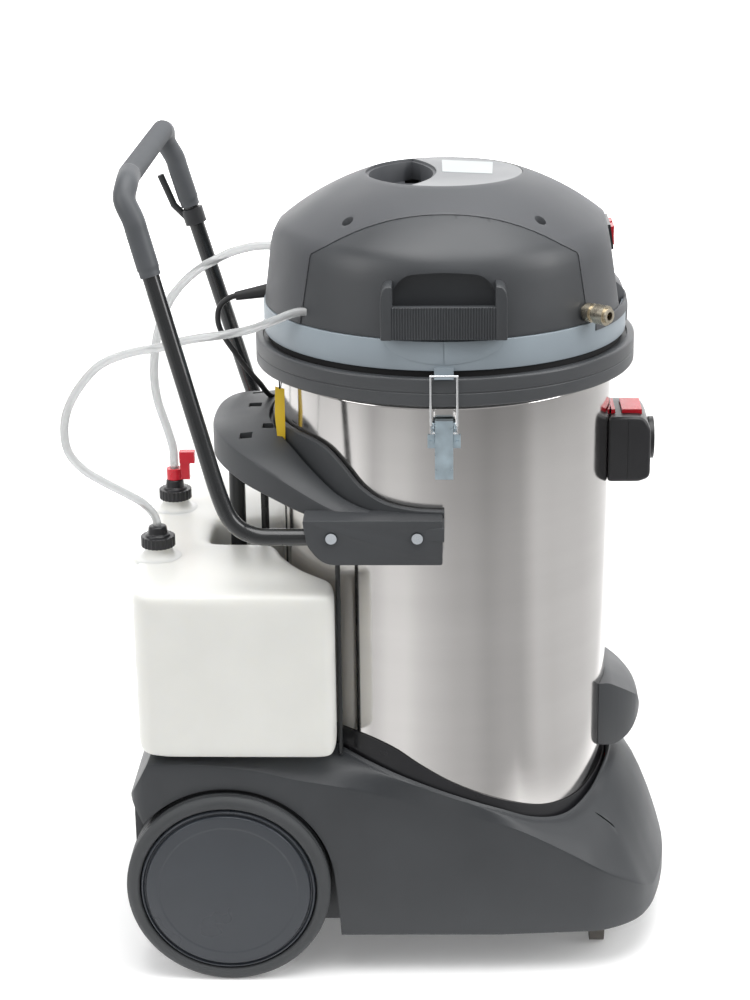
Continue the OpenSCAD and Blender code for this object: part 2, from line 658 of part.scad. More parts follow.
module rack_screws() color("#d5d8da") at_drum() both() for (x = [-130, -31]) {
    across_disc(3, x, 585, arm_y - 2.8, arm_y);
    across_disc(6.5, x, 585, arm_y, arm_y + 2.5);
}

// ---- Push handle ----
// The near half of the tube's middle line, from inside the rack's arm to the crossbar
lean_x = 0.276;
lean_y = 0.0844;
function handle_x(z) = -277.4 - lean_x * (z - 700);
function handle_y(z) = -217 + lean_y * (z - 700);
bar_x = handle_x(handle_height) + 3;
bend_z = handle_height - 42;
foot = [[-80, -222, 582], [-195, -222, 582], [-215, -222, 583], [-233, -222, 590],
    [-246, -223, 603], [-254, -223, 620], [handle_x(645), handle_y(645), 645]];
sleeve_z = handle_height - 103;
shank = [for (z = [700, 760, 820, sleeve_z]) [handle_x(z), handle_y(z), z]];
crook = [[handle_x(bend_z), handle_y(bend_z), bend_z],
    [bar_x - 1, handle_y(bend_z) + 7, bend_z + 21], [bar_x, handle_y(bend_z) + 21, bend_z + 36],
    [bar_x, -crossbar_half, handle_height]];
function flipped(p) = [for (i = [len(p) - 1:-1:0]) [p[i][0], -p[i][1], p[i][2]]];
near_half = concat(foot, shank);
upper_half = concat([[handle_x(sleeve_z), handle_y(sleeve_z), sleeve_z],
    [handle_x(sleeve_z + 30), handle_y(sleeve_z + 30), sleeve_z + 30]], crook);
module handle_frame() color("#1b1c1e") at_drum() both() tube(near_half, tube_r, 16);
module handle_grip() color("#4b4e52") at_drum()
    tube(concat(upper_half, flipped(upper_half)), tube_r + 3, 16);
module cable_hook() color("#2a2b2d") at_drum() {
    hook_z = sleeve_z - 16;
    difference() {
        union() {
            translate([handle_x(hook_z), -handle_y(hook_z), hook_z]) rotate([0, -15.4, 0])
                cylinder(r = tube_r + 4, h = 20, center = true);
            tube([[handle_x(hook_z) - 8, -handle_y(hook_z), hook_z - 4],
                [handle_x(hook_z) - 25, -handle_y(hook_z) - 2, hook_z + 14],
                [handle_x(hook_z) - 41, -handle_y(hook_z) - 4, hook_z + 54]], 4.5, 12);
        }
        mirror([0, 1, 0]) tube(near_half, tube_r + 0.1, 16);
    }
}

// ---- Hoses and the mains cable ----
module solution_hose() color("#e4e8e6") at_drum() tube(solution_route, hose_r);
module air_hose() color("#e4e8e6") at_drum() tube(air_route, air_hose_r);
module power_cable() color("#18191b") at_drum() {
    tube(cable_route, cable_r, 8);
    tube(tail_route, cable_r, 8);
}
module cable_coil() color("#18191b") at_drum() translate([coil_x, coil_y, 0]) rotate_extrude()
    translate([coil_mid_r, coil_half]) square([2 * coil_half + 2, 2 * coil_half], center = true);
module plug() color("#18191b") at_drum() translate([-88, 350, 2 * coil_half + plug_r])
    rotate([90, 0, 0]) {
        cylinder(r1 = 7, r2 = 12, h = 16);
        translate([0, 0, 16]) cylinder(r = plug_r, h = 30);
        for (side = [-9.5, 9.5]) translate([side, 0, 46]) cylinder(r = 2.4, h = 18);
    }

base();
wheel_axle();
drum();
drum_collar();
rack();
rack_posts();
rack_screws();
handle_frame();
handle_grip();
cable_hook();
solution_tank();
tank_cap_near();
tank_cap_far();
air_tap();
inlet_box();
inlet_nozzle();
inlet_button_front();
inlet_button_rear();
latch_brackets();
latch_lever_near();
latch_lever_far();
latch_bail_near();
latch_bail_far();
drum_grip();
catch_rods();
catch_hook();
castor_fork_near();
castor_fork_far();
castor_wheel_near();
castor_wheel_far();
tyre_near();
tyre_far();
hub_near();
hub_far();
head_band();
head_seal();
head_cover();
side_panel_near();
side_panel_far();
top_panel();
cover_screws();
switch_frame();
rocker_suction();
rocker_pump();
coupler_body();
coupler_sleeve();
strain_relief();
suction_motor();
fan_rotor();
solution_pump();
float_cage();
float_ball();
solution_hose();
air_hose();
power_cable();
cable_coil();
plug();
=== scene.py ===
# %% [markdown]
# Carpet cleaner machine. A polished steel drum stands in a dark moulded trolley, with a domed motor
# head clamped on top, a white saddle tank behind it, and a bent tube as push handle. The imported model
# gives every part its true size and place. This lesson builds the finished surfaces around it: first
# the camera and the loose cords, then the big shapes, then the fittings, and at the end the finishes.

import json
import math

import bpy
from mathutils import Matrix, Vector


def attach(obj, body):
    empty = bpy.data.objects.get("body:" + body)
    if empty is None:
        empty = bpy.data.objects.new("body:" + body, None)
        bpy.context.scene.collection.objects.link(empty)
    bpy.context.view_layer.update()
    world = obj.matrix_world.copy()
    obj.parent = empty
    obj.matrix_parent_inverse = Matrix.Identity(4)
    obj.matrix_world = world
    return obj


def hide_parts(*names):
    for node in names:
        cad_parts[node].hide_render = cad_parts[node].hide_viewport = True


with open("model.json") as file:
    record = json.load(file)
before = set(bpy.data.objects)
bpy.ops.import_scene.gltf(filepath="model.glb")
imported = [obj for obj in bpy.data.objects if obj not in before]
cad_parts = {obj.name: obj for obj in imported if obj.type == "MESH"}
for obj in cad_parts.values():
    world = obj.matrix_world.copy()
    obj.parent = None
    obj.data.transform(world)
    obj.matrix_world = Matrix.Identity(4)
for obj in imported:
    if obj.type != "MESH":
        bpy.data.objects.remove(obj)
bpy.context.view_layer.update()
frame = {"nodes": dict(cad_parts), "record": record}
nodes = frame["nodes"]

# %% [markdown]
# Most of the machine is round about one upright line, the drum's axis. So every size below is written
# in millimetres from that axis and from the floor, as on a workshop drawing, and one small function
# turns such a point into the frame's metres.

# %% Points in millimetres from the drum's axis
AXIS_X = 53.0
MM = 0.001
MIDDLE = Vector((AXIS_X * MM, 0, 0))
TURN = 2 * math.pi


def at(x, y, z):
    return Vector(((x + AXIS_X) * MM, y * MM, z * MM))


def polar(radius, degrees, z):
    angle = math.radians(degrees)
    return at(radius * math.cos(angle), radius * math.sin(angle), z)


print("drum axis stands at", tuple(MIDDLE))

# %% [markdown]
# The camera stands on the machine's right side, a little above its handle, and looks slightly down.
# A long lens from 2.6 metres keeps the upright edges nearly parallel, as in a catalogue picture.

# %% Camera
CAMERA_PLACE = at(8.57, -2616.9, 1450.5)
CAMERA_YAW, CAMERA_DOWN, CAMERA_ROLL = -0.0367, 0.3309, -0.0132
ahead = Vector((math.sin(CAMERA_YAW) * math.cos(CAMERA_DOWN),
                math.cos(CAMERA_YAW) * math.cos(CAMERA_DOWN), -math.sin(CAMERA_DOWN)))
level = Vector((math.cos(CAMERA_YAW), -math.sin(CAMERA_YAW), 0))
above = level.cross(ahead)
right = level * math.cos(CAMERA_ROLL) + above * math.sin(CAMERA_ROLL)
upward = above * math.cos(CAMERA_ROLL) - level * math.sin(CAMERA_ROLL)
bpy.ops.object.camera_add(location=CAMERA_PLACE)
camera = bpy.context.object
camera.name = "studio_camera"
camera.matrix_world = Matrix.Translation(CAMERA_PLACE) @ Matrix(
    (right, upward, -ahead)).transposed().to_4x4()
camera.data.sensor_width = 36.0
camera.data.lens = 79.52
bpy.context.scene.camera = camera
print("camera at", [round(v, 3) for v in camera.location])

# %% [markdown]
# A studio for steel: the drum shows whatever lies before it, so the room matters as much as the
# lamps. A pale floor and a glowing wall close the room, and large soft lamps hang left, right and
# above. The drum mirrors the floor in front of it. So there, beyond the edge of the picture, the floor
# has broad soft fans of painted shade about the drum's axis. Mirrored in the polished sheet, they are
# painted reflections that give it its long upright shades.

# %% Floor, wall and lamps
def stage_plane(name, place, turn, width, height, colour, glow=0.0):
    bpy.ops.object.select_all(action="DESELECT")
    bpy.ops.mesh.primitive_plane_add(size=1, location=place, rotation=turn)
    plane = bpy.context.object
    plane.name = name
    plane.scale = (width, height, 1)
    bpy.ops.object.transform_apply(location=False, rotation=False, scale=True)
    finish = bpy.data.materials.new(name)
    finish.use_nodes = True
    shader = finish.node_tree.nodes["Principled BSDF"]
    shader.inputs["Base Color"].default_value = (*colour, 1)
    shader.inputs["Roughness"].default_value = 0.9
    shader.inputs["Specular IOR Level"].default_value = 0.1
    shader.inputs["Emission Color"].default_value = (*colour, 1)
    shader.inputs["Emission Strength"].default_value = glow
    plane.data.materials.append(finish)
    return plane


def soft_lamp(name, place, towards, width, height, power):
    bpy.ops.object.light_add(type="AREA", location=place)
    lamp = bpy.context.object
    lamp.name = name
    lamp.data.shape = "RECTANGLE"
    lamp.data.size, lamp.data.size_y = width, height
    lamp.data.energy = power
    lamp.rotation_euler = (Vector(towards) - Vector(place)).to_track_quat("-Z", "Y").to_euler()
    return lamp


# share of a full turn, counted from the rear over the near side, and the floor's painted shade there, set
# for the drum's painted reflections
FLOOR_SHADE_FANS = [(0.0, 0.70), (0.048, 0.76), (0.083, 0.74), (0.117, 0.46), (0.148, 0.60), (0.179, 0.61),
              (0.209, 0.50), (0.238, 0.43), (0.268, 0.37), (0.297, 0.34), (0.327, 0.28),
              (0.358, 0.30), (0.39, 0.29), (0.424, 0.41), (0.459, 0.39), (0.498, 0.42),
              (0.543, 0.45), (0.599, 0.54), (0.689, 0.74), (0.78, 0.93), (0.93, 0.93)]
# The floor's colour and its faint glow both carry the painted shade fans; under the machine the floor stays
# pale.
floor = stage_plane("studio_floor", (0, 0, 0), (0, 0, 0), 14, 14, (0.93, 0.93, 0.93), 0.16)
tree = floor.data.materials[0].node_tree
floor_shader = tree.nodes["Principled BSDF"]
floor_place = tree.nodes.new("ShaderNodeTexCoord")
about_drum = tree.nodes.new("ShaderNodeMapping")
about_drum.inputs["Location"].default_value = (-MIDDLE.x, 0, 0)
fan = tree.nodes.new("ShaderNodeTexGradient")
fan.gradient_type = "RADIAL"
shade_tones = tree.nodes.new("ShaderNodeValToRGB")
for share, tone in FLOOR_SHADE_FANS:
    stop = shade_tones.color_ramp.elements.new(share) if share else shade_tones.color_ramp.elements[0]
    stop.position, stop.color = share, (tone, tone, tone, 1)
shade_tones.color_ramp.elements[-1].color = (0.7, 0.7, 0.7, 1)
# Mask for the painted shade: none near the drum, full strength in front of it and far out to the sides.
split = tree.nodes.new("ShaderNodeSeparateXYZ")
in_front = tree.nodes.new("ShaderNodeMapRange")
in_front.interpolation_type = "SMOOTHSTEP"
in_front.inputs["From Min"].default_value = -0.31
in_front.inputs["From Max"].default_value = -0.62
sideways = tree.nodes.new("ShaderNodeMath")
sideways.operation = "ADD"
sideways.inputs[1].default_value = 0.09
outwards = tree.nodes.new("ShaderNodeMath")
outwards.operation = "ABSOLUTE"
behind = tree.nodes.new("ShaderNodeMath")
behind.operation = "MULTIPLY_ADD"
behind.inputs[1].default_value = -0.17
beside = tree.nodes.new("ShaderNodeMapRange")
beside.interpolation_type = "SMOOTHSTEP"
beside.inputs["From Min"].default_value = 0.52
beside.inputs["From Max"].default_value = 0.80
painted_shade_mask = tree.nodes.new("ShaderNodeMath")
painted_shade_mask.operation = "MAXIMUM"
floor_mix = tree.nodes.new("ShaderNodeMix")
floor_mix.data_type = "RGBA"
floor_mix.inputs["A"].default_value = (0.93, 0.93, 0.93, 1)
tree.links.new(floor_place.outputs["Object"], about_drum.inputs["Vector"])
tree.links.new(about_drum.outputs["Vector"], fan.inputs["Vector"])
tree.links.new(about_drum.outputs["Vector"], split.inputs["Vector"])
tree.links.new(fan.outputs["Fac"], shade_tones.inputs["Fac"])
tree.links.new(split.outputs["Y"], in_front.inputs["Value"])
tree.links.new(split.outputs["X"], sideways.inputs[0])
tree.links.new(sideways.outputs[0], outwards.inputs[0])
tree.links.new(split.outputs["Y"], behind.inputs[0])
tree.links.new(outwards.outputs[0], behind.inputs[2])
tree.links.new(behind.outputs[0], beside.inputs["Value"])
tree.links.new(in_front.outputs["Result"], painted_shade_mask.inputs[0])
tree.links.new(beside.outputs["Result"], painted_shade_mask.inputs[1])
tree.links.new(painted_shade_mask.outputs[0], floor_mix.inputs["Factor"])
tree.links.new(shade_tones.outputs["Color"], floor_mix.inputs["B"])
for socket in ("Base Color", "Emission Color"):
    tree.links.new(floor_mix.outputs["Result"], floor_shader.inputs[socket])
stage_plane("studio_wall", (0, 3.4, 2.0), (math.pi / 2, 0, 0), 14, 8, (0.93, 0.93, 0.93), 1.1)
soft_lamp("lamp_above", (0.2, -0.5, 3.0), (0, 0, 0.5), 2.4, 2.2, 72)
soft_lamp("lamp_left", (-2.4, -1.4, 1.9), (0, 0, 0.5), 1.6, 1.8, 24)
soft_lamp("lamp_right", (2.6, -0.9, 2.0), (0, 0, 0.5), 1.2, 1.8, 40)
world = bpy.data.worlds.new("studio_room")
world.use_nodes = True
world.node_tree.nodes["Background"].inputs["Color"].default_value = (1, 1, 1, 1)
world.node_tree.nodes["Background"].inputs["Strength"].default_value = 0.5
bpy.context.scene.world = world
bpy.context.scene.view_settings.view_transform = "Standard"

# %% [markdown]
# Finishes. Each real surface has three layers of detail: a broad change of tone, a fine grain that
# breaks up the shine, and for moulded plastic a leathery texture that is felt more than seen. One
# function lays these down from noise that follows the object's own coordinates, so it never slides.

# %% A finish with tone, grain and texture
finishes = {}


def finish(name, colour, rough=0.5, metal=0.0, tone=0.08, grain=900.0, bump=0.05, patches=9.0,
           rough_change=0.08, stretch=(1, 1, 1), coat=0.0, dusty=0.0, specular=0.5):
    made = bpy.data.materials.new(name)
    made.use_nodes = True
    tree = made.node_tree
    shader = tree.nodes["Principled BSDF"]
    shader.inputs["Metallic"].default_value = metal
    shader.inputs["Coat Weight"].default_value = coat
    shader.inputs["Specular IOR Level"].default_value = specular
    place = tree.nodes.new("ShaderNodeTexCoord")
    mapping = tree.nodes.new("ShaderNodeMapping")
    mapping.inputs["Scale"].default_value = stretch
    tree.links.new(place.outputs["Object"], mapping.inputs["Vector"])

    def noise(scale, detail=3.0):
        node = tree.nodes.new("ShaderNodeTexNoise")
        node.inputs["Scale"].default_value = scale
        node.inputs["Detail"].default_value = detail
        tree.links.new(mapping.outputs["Vector"], node.inputs["Vector"])
        return node.outputs["Fac"]

    def ramp(source, low, high):
        node = tree.nodes.new("ShaderNodeMapRange")
        node.inputs["From Min"].default_value = 0.3
        node.inputs["From Max"].default_value = 0.7
        node.inputs["To Min"].default_value = low
        node.inputs["To Max"].default_value = high
        tree.links.new(source, node.inputs["Value"])
        return node.outputs["Result"]

    broad, fine = noise(patches), noise(grain, 2.0)
    mix = tree.nodes.new("ShaderNodeMix")
    mix.data_type = "RGBA"
    dark = [c * (1 - tone) for c in colour]
    light = [min(1.0, c * (1 + tone) + dusty) for c in colour]
    mix.inputs["A"].default_value = (*dark, 1)
    mix.inputs["B"].default_value = (*light, 1)
    tree.links.new(ramp(broad, 0, 1), mix.inputs["Factor"])
    tree.links.new(mix.outputs["Result"], shader.inputs["Base Color"])
    tree.links.new(ramp(broad, rough - rough_change, rough + rough_change),
                   shader.inputs["Roughness"])
    if bump:
        raised = tree.nodes.new("ShaderNodeBump")
        raised.inputs["Strength"].default_value = bump
        raised.inputs["Distance"].default_value = 0.0006
        tree.links.new(fine, raised.inputs["Height"])
        tree.links.new(raised.outputs["Normal"], shader.inputs["Normal"])
    finishes[name] = made
    return made


finish("trolley_plastic", (0.030, 0.033, 0.037), rough=0.46, bump=0.18, dusty=0.006)
finish("collar_plastic", (0.052, 0.055, 0.059), rough=0.40, bump=0.06)
finish("rack_plastic", (0.046, 0.049, 0.053), rough=0.48, bump=0.20)
finish("head_plastic", (0.055, 0.058, 0.064), rough=0.50, bump=0.22, dusty=0.006)
finish("panel_plastic", (0.040, 0.043, 0.047), rough=0.42, bump=0.10)
finish("inlay_plastic", (0.150, 0.155, 0.162), rough=0.40, bump=0.04)
finish("label_blank", (0.33, 0.355, 0.36), rough=0.34, bump=0.02)
finish("band_plastic", (0.270, 0.315, 0.350), rough=0.38, bump=0.05)
finish("grip_plastic", (0.070, 0.075, 0.082), rough=0.52, bump=0.15)
finish("hook_plastic", (0.022, 0.023, 0.025), rough=0.42, bump=0.10)
finish("grip_moulding", (0.050, 0.053, 0.057), rough=0.42, bump=0.12)
finish("inlet_plastic", (0.016, 0.016, 0.018), rough=0.36, bump=0.08)
finish("hub_plastic", (0.034, 0.039, 0.047), rough=0.30, bump=0.03, rough_change=0.06)
finish("tyre_rubber", (0.040, 0.043, 0.046), rough=0.62, bump=0.16, dusty=0.010)
finish("castor_tread", (0.090, 0.082, 0.072), rough=0.60, bump=0.10)
finish("seal_rubber", (0.010, 0.010, 0.011), rough=0.75, bump=0.20)
finish("cable_rubber", (0.014, 0.014, 0.015), rough=0.46, bump=0.08)
finish("cap_black", (0.012, 0.012, 0.014), rough=0.34, bump=0.06)
finish("tap_red", (0.62, 0.018, 0.035), rough=0.26, bump=0.03)
finish("button_red", (0.46, 0.008, 0.018), rough=0.24, bump=0.02)
finish("handle_enamel", (0.010, 0.011, 0.012), rough=0.24, bump=0.03, coat=0.3)
finish("post_enamel", (0.010, 0.011, 0.012), rough=0.28, bump=0.03)
finish("rod_black", (0.010, 0.010, 0.012), rough=0.30, bump=0.03)
finish("screw_black", (0.015, 0.015, 0.016), rough=0.35, metal=0.6)
finish("switch_plastic", (0.014, 0.014, 0.016), rough=0.28, bump=0.04)
finish("axle_steel", (0.55, 0.55, 0.55), rough=0.34, metal=1, grain=1500)
finish("zinc_screw", (0.66, 0.70, 0.74), rough=0.28, metal=1)
finish("latch_zinc", (0.50, 0.60, 0.66), rough=0.34, metal=1, tone=0.14, patches=60)
finish("latch_wire", (0.78, 0.79, 0.80), rough=0.16, metal=1)
finish("castor_metal", (0.56, 0.54, 0.50), rough=0.36, metal=1, tone=0.14, patches=50)
finish("coupler_brass", (0.60, 0.54, 0.43), rough=0.26, metal=1, tone=0.12, patches=70)
finish("motor_metal", (0.50, 0.51, 0.52), rough=0.42, metal=1)
finish("pump_plastic", (0.10, 0.105, 0.11), rough=0.5)
finish("float_plastic", (0.72, 0.72, 0.68), rough=0.45)
finish("tag_yellow", (0.86, 0.58, 0.03), rough=0.42, bump=0.03)
finish("tie_black", (0.012, 0.012, 0.013), rough=0.5)
print("plain finishes:", len(finishes))

# %% [markdown]
# Three finishes need more. The drum is rolled stainless sheet, ground round and round, so its grain is
# drawn out along the circumference and only just widens the reflections. The tank is milky
# polyethylene that lets some light in. The hoses are clear vinyl. The dish on the head is
# polished smoother than the shell around it, by the lower roughness of its plain finish above.

# %% Steel, milky plastic and clear vinyl
finish("drum_steel", (0.63, 0.612, 0.598), rough=0.11, metal=1, tone=0.03, patches=3.0,
       grain=260.0, bump=0.025, rough_change=0.03, stretch=(1, 1, 9))
tank_white = finish("tank_white", (0.75, 0.75, 0.715), rough=0.36, tone=0.02, bump=0.05,
                    patches=14)
milk = tank_white.node_tree.nodes["Principled BSDF"]
milk.inputs["Subsurface Weight"].default_value = 0.35
milk.inputs["Subsurface Radius"].default_value = (0.012, 0.011, 0.009)
milk.inputs["Subsurface Scale"].default_value = 0.6
vinyl = finish("clear_hose", (0.66, 0.67, 0.67), rough=0.12, tone=0.02, bump=0.0, patches=30)
clear = vinyl.node_tree.nodes["Principled BSDF"]
clear.inputs["Transmission Weight"].default_value = 0.55
clear.inputs["IOR"].default_value = 1.35
for name, node in nodes.items():
    row = next(r for r in frame["record"]["subparts"] if r["node"] == name)
    node.data.materials.clear()
    node.data.materials.append(finishes[row["material_slot"]])
print("CAD nodes given a finish:", len(nodes))
# %% [markdown]
# The loose cords. A cord is one curve with a round section, so its length is easy to measure and its
# bends stay smooth. Two clear hoses run from the head to the tank caps. The mains cable leaves the
# head through a strain relief, drops inside the handle, lies on the rack and falls to the floor at
# the far side, where its last 7.5 metres are wound into a neat coil. The points repeat the frame's
# routes.

# %% A cord along measured points
def smooth_path(points, steps=4):
    """Points of a rounded line through all the given ones."""
    ends = [2 * points[0] - points[1], *points, 2 * points[-1] - points[-2]]
    line = []
    for a, b, c, d in zip(ends, ends[1:], ends[2:], ends[3:]):
        for k in range(steps):
            t = k / steps
            line.append(0.5 * (2 * b + (c - a) * t + (2 * a - 5 * b + 4 * c - d) * t ** 2
                               + (3 * b - a - 3 * c + d) * t ** 3))
    return line + [points[-1]]


def length_of(line):
    return sum((b - a).length for a, b in zip(line, line[1:]))


def curve_through(name, line, radius, finish_name, sides=6):
    data = bpy.data.curves.new(name, "CURVE")
    data.dimensions = "3D"
    data.bevel_depth = radius
    data.bevel_resolution = sides
    data.use_fill_caps = True
    spline = data.splines.new("POLY")
    spline.points.add(len(line) - 1)
    for point, place in zip(spline.points, line):
        point.co = (*place, 1)
    spline.use_smooth = True
    made = bpy.data.objects.new(name, data)
    bpy.context.scene.collection.objects.link(made)
    data.materials.append(finishes[finish_name])
    return made


def along(route):
    return [at(*p) for p in route]


SOLUTION_ROUTE = [
    (-158, -142, 829), (-168, -142, 829), (-180, -144, 826), (-195, -146, 820), (-224, -148, 810),
    (-253, -148, 804), (-282, -147, 800), (-305, -144, 795), (-330, -141, 787), (-365, -137, 780),
    (-401, -132, 765), (-426, -127, 740), (-444, -122, 711), (-452, -117, 682), (-450, -112, 651),
    (-434, -107, 627), (-412, -102, 610), (-388, -98, 595), (-367, -93, 580), (-354, -90, 564),
    (-350, -90, 550), (-350, -90, 540)]
AIR_ROUTE = [
    (-196, 60, 862), (-204, 60, 862), (-222, 60, 863), (-241, 60, 861), (-265, 62, 854),
    (-285, 64, 844), (-304, 67, 833), (-323, 70, 817), (-341, 74, 796), (-354, 78, 771),
    (-363, 81, 744), (-368, 83, 716), (-370, 85, 686), (-367, 87, 655), (-358, 89, 622),
    (-351, 90, 594), (-350, 90, 574), (-350, 90, 540)]
for name, route, radius in (("solution_hose_curve", SOLUTION_ROUTE, 5.0),
                            ("air_hose_curve", AIR_ROUTE, 5.5)):
    line = smooth_path(along(route))
    hose = curve_through(name, line, radius * MM, "clear_hose", 7)
    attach(hose, "chassis")
    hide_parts(name.replace("_curve", ""))
    print(name, round(length_of(line), 3), "m")

# %% [markdown]
# The cable's coil is wound layer on layer: each turn lies beside the last one, and when a layer is
# full the next lies on it and comes back the other way.

# %% Mains cable with its coil
CABLE_ROUTE = [
    (-256, 22, 809), (-266, 22, 805), (-275, 22, 797), (-279, 22, 785), (-278, 22, 771),
    (-271, 22, 755), (-260, 22, 738), (-249, 23, 721), (-239, 25, 707), (-230, 31, 694),
    (-224, 42, 681), (-219, 58, 671), (-211, 80, 664), (-196, 108, 662), (-175, 139, 661),
    (-150, 170, 655), (-128, 197, 643), (-115, 218, 632), (-108, 234, 624), (-104, 245, 609),
    (-103, 250, 588), (-103, 251, 550), (-104, 251, 500), (-105, 251, 400), (-106, 251, 300),
    (-106, 251, 200), (-106, 251, 100), (-105, 251, 45), (-101, 251, 24), (-90, 252, 10),
    (-74, 254, 4), (-50, 255, 3.5), (-20, 255, 3.5)]
TAIL_ROUTE = [(-50, 396, 29), (-66, 386, 35), (-78, 374, 42), (-86, 362, 47), (-88, 350, 48)]
CABLE_R = 3.5
COIL_X, COIL_Y, COIL_OUTER_R = -20, 335, 80
PITCH = 7.15
TURNS_PER_LAYER, LAYERS = 4, 4


def coil_turns():
    """Radius and height of each turn, layer by layer; the loop below eases each turn to the next in its last
    quarter.
    """
    seats = []
    for layer in range(LAYERS):
        radii = [COIL_OUTER_R - PITCH * k for k in range(TURNS_PER_LAYER)]
        height = CABLE_R + PITCH * layer
        seats += [(r, height) for r in (radii if layer % 2 == 0 else radii[::-1])]
    return seats


STEPS = 28
seats = coil_turns()
coil_line = []
for turn, (radius, height) in enumerate(seats):
    following = seats[min(turn + 1, len(seats) - 1)]
    last = turn == len(seats) - 1
    for k in range(STEPS):
        share = k / STEPS
        if last and share > 0.47:
            break
        ease = max(0.0, (share - 0.75) / 0.25)
        ease = ease * ease * (3 - 2 * ease)
        r = radius + (following[0] - radius) * ease
        z = height + (following[1] - height) * ease
        angle = -math.pi / 2 + share * TURN
        coil_line.append(at(COIL_X + r * math.cos(angle), COIL_Y + r * math.sin(angle), z))
print("coil:", len(seats), "turns,", round(length_of(coil_line), 2), "m; ends at",
      [round(v / MM) for v in coil_line[-1] - MIDDLE])
cable_line = smooth_path(along(CABLE_ROUTE[:-1])) + coil_line
cable_line += smooth_path([coil_line[-1], *along(TAIL_ROUTE)])[1:]
print("cable:", round(length_of(cable_line), 3), "m")

# %% [markdown]
# Most pieces below start in one of three ways. A turned piece is a profile drawn beside the axis and
# spun round it, as on a potter's wheel. A moulded block is an outline that is filled and pushed out.
# A shell whose outline changes with its height is a net of squares laid over measured rings. These
# helpers do the drawing; every one starts by deselecting everything, so nothing else is touched.

# %% Starting a piece
def rest():
    if bpy.context.object and bpy.context.object.mode != "OBJECT":
        bpy.ops.object.mode_set(mode="OBJECT")
    bpy.ops.object.select_all(action="DESELECT")


def pick(piece):
    rest()
    piece.select_set(True)
    bpy.context.view_layer.objects.active = piece


def edit_all(piece):
    pick(piece)
    bpy.ops.object.mode_set(mode="EDIT")
    bpy.ops.mesh.select_all(action="SELECT")


def rounded(corners, closed=False, steps=5):
    """A drawn line's points. A corner (a, b, reach) is rounded off over that reach."""
    line, count = [], len(corners)
    for i, corner in enumerate(corners):
        here = Vector(corner[:2])
        if len(corner) < 3 or (not closed and i in (0, count - 1)):
            line.append(here)
            continue
        back = Vector(corners[i - 1][:2]) - here
        on = Vector(corners[(i + 1) % count][:2]) - here
        reach = min(corner[2], back.length * 0.49, on.length * 0.49)
        start, end = here + back.normalized() * reach, here + on.normalized() * reach
        for k in range(steps + 1):
            t = k / steps
            line.append((1 - t) ** 2 * start + 2 * t * (1 - t) * here + t * t * end)
    return line


def draw(name, points, closed=False):
    """A point is added, and a chain of edges is extruded from it along the given places."""
    rest()
    bpy.ops.mesh.primitive_plane_add(size=MM)
    piece = bpy.context.object
    piece.name = name
    edit_all(piece)
    bpy.ops.mesh.merge(type="CENTER")
    bpy.ops.transform.translate(value=points[0])
    route = [*points, points[0]] if closed else points
    for a, b in zip(route, route[1:]):
        bpy.ops.mesh.extrude_region_move(TRANSFORM_OT_translate={"value": b - a})
    bpy.ops.mesh.select_all(action="SELECT")
    bpy.ops.mesh.remove_doubles(threshold=MM / 100)
    return piece


def tidy_faces(merge=MM / 100):
    bpy.ops.mesh.select_all(action="SELECT")
    bpy.ops.mesh.remove_doubles(threshold=merge)
    bpy.ops.mesh.normals_make_consistent(inside=False)
    bpy.ops.object.mode_set(mode="OBJECT")


def turned(name, profile, steps=160, closed=True):
    """A piece turned about the drum's axis from its half section (radius, height)."""
    piece = draw(name, [at(r, 0, z) for r, z in profile], closed)
    bpy.ops.mesh.spin(steps=steps, angle=TURN, center=MIDDLE, axis=(0, 0, 1))
    tidy_faces()
    return piece


def turned_across(name, profile, x, z, steps=96, side=-1):
    """Turned about an axle across the machine: (radius, distance from the middle plane)."""
    piece = draw(name, [at(x, side * y, z + r) for r, y in profile], True)
    bpy.ops.mesh.spin(steps=steps, angle=TURN, center=at(x, 0, z), axis=(0, 1, 0))
    tidy_faces()
    return piece


def slab(name, outline, push):
    """An outline filled to one face and pushed out along the given way."""
    piece = draw(name, outline, True)
    bpy.ops.mesh.edge_face_add()
    bpy.ops.mesh.extrude_region_move(TRANSFORM_OT_translate={"value": Vector(push) * MM})
    tidy_faces()
    return piece


def side_slab(name, outline, low, high):
    """A slab drawn as seen from the side (x, z), from y = low to y = high."""
    return slab(name, [at(x, low, z) for x, z in outline], (0, high - low, 0))


def plan_slab(name, outline, low, high):
    return slab(name, [at(x, y, low) for x, y in outline], (0, 0, high - low))


def net(name, rings, closed=True, caps=True):
    """A grid of squares whose rows are laid on the rings, the seam merged, the ends filled."""
    rest()
    across, up = len(rings[0]), len(rings)
    bpy.ops.mesh.primitive_grid_add(x_subdivisions=across if closed else across - 1,
                                    y_subdivisions=up - 1, size=MM)
    piece = bpy.context.object
    piece.name = name
    row = across + 1 if closed else across
    for j, ring in enumerate(rings):
        for i in range(row):
            piece.data.vertices[j * row + i].co = ring[i % across]
    edit_all(piece)
    bpy.ops.mesh.remove_doubles(threshold=MM / 100)
    if caps:
        bpy.ops.mesh.select_all(action="DESELECT")
        bpy.ops.mesh.select_mode(type="EDGE")
        bpy.ops.mesh.select_non_manifold()
        bpy.ops.mesh.edge_face_add()
        bpy.ops.mesh.select_mode(type="VERT")
    tidy_faces()
    return piece


def shape(piece, kind, **settings):
    """Adds a modifier with these settings and applies it."""
    pick(piece)
    modifier = piece.modifiers.new(kind.lower(), kind)
    for key, value in settings.items():
        setattr(modifier, key, value)
    bpy.ops.object.modifier_apply(modifier=modifier.name)
    return piece


def soften(piece, width, steps=2, above=35):
    return shape(piece, "BEVEL", width=width * MM, segments=steps, limit_method="ANGLE",
                 angle_limit=math.radians(above), use_clamp_overlap=True)


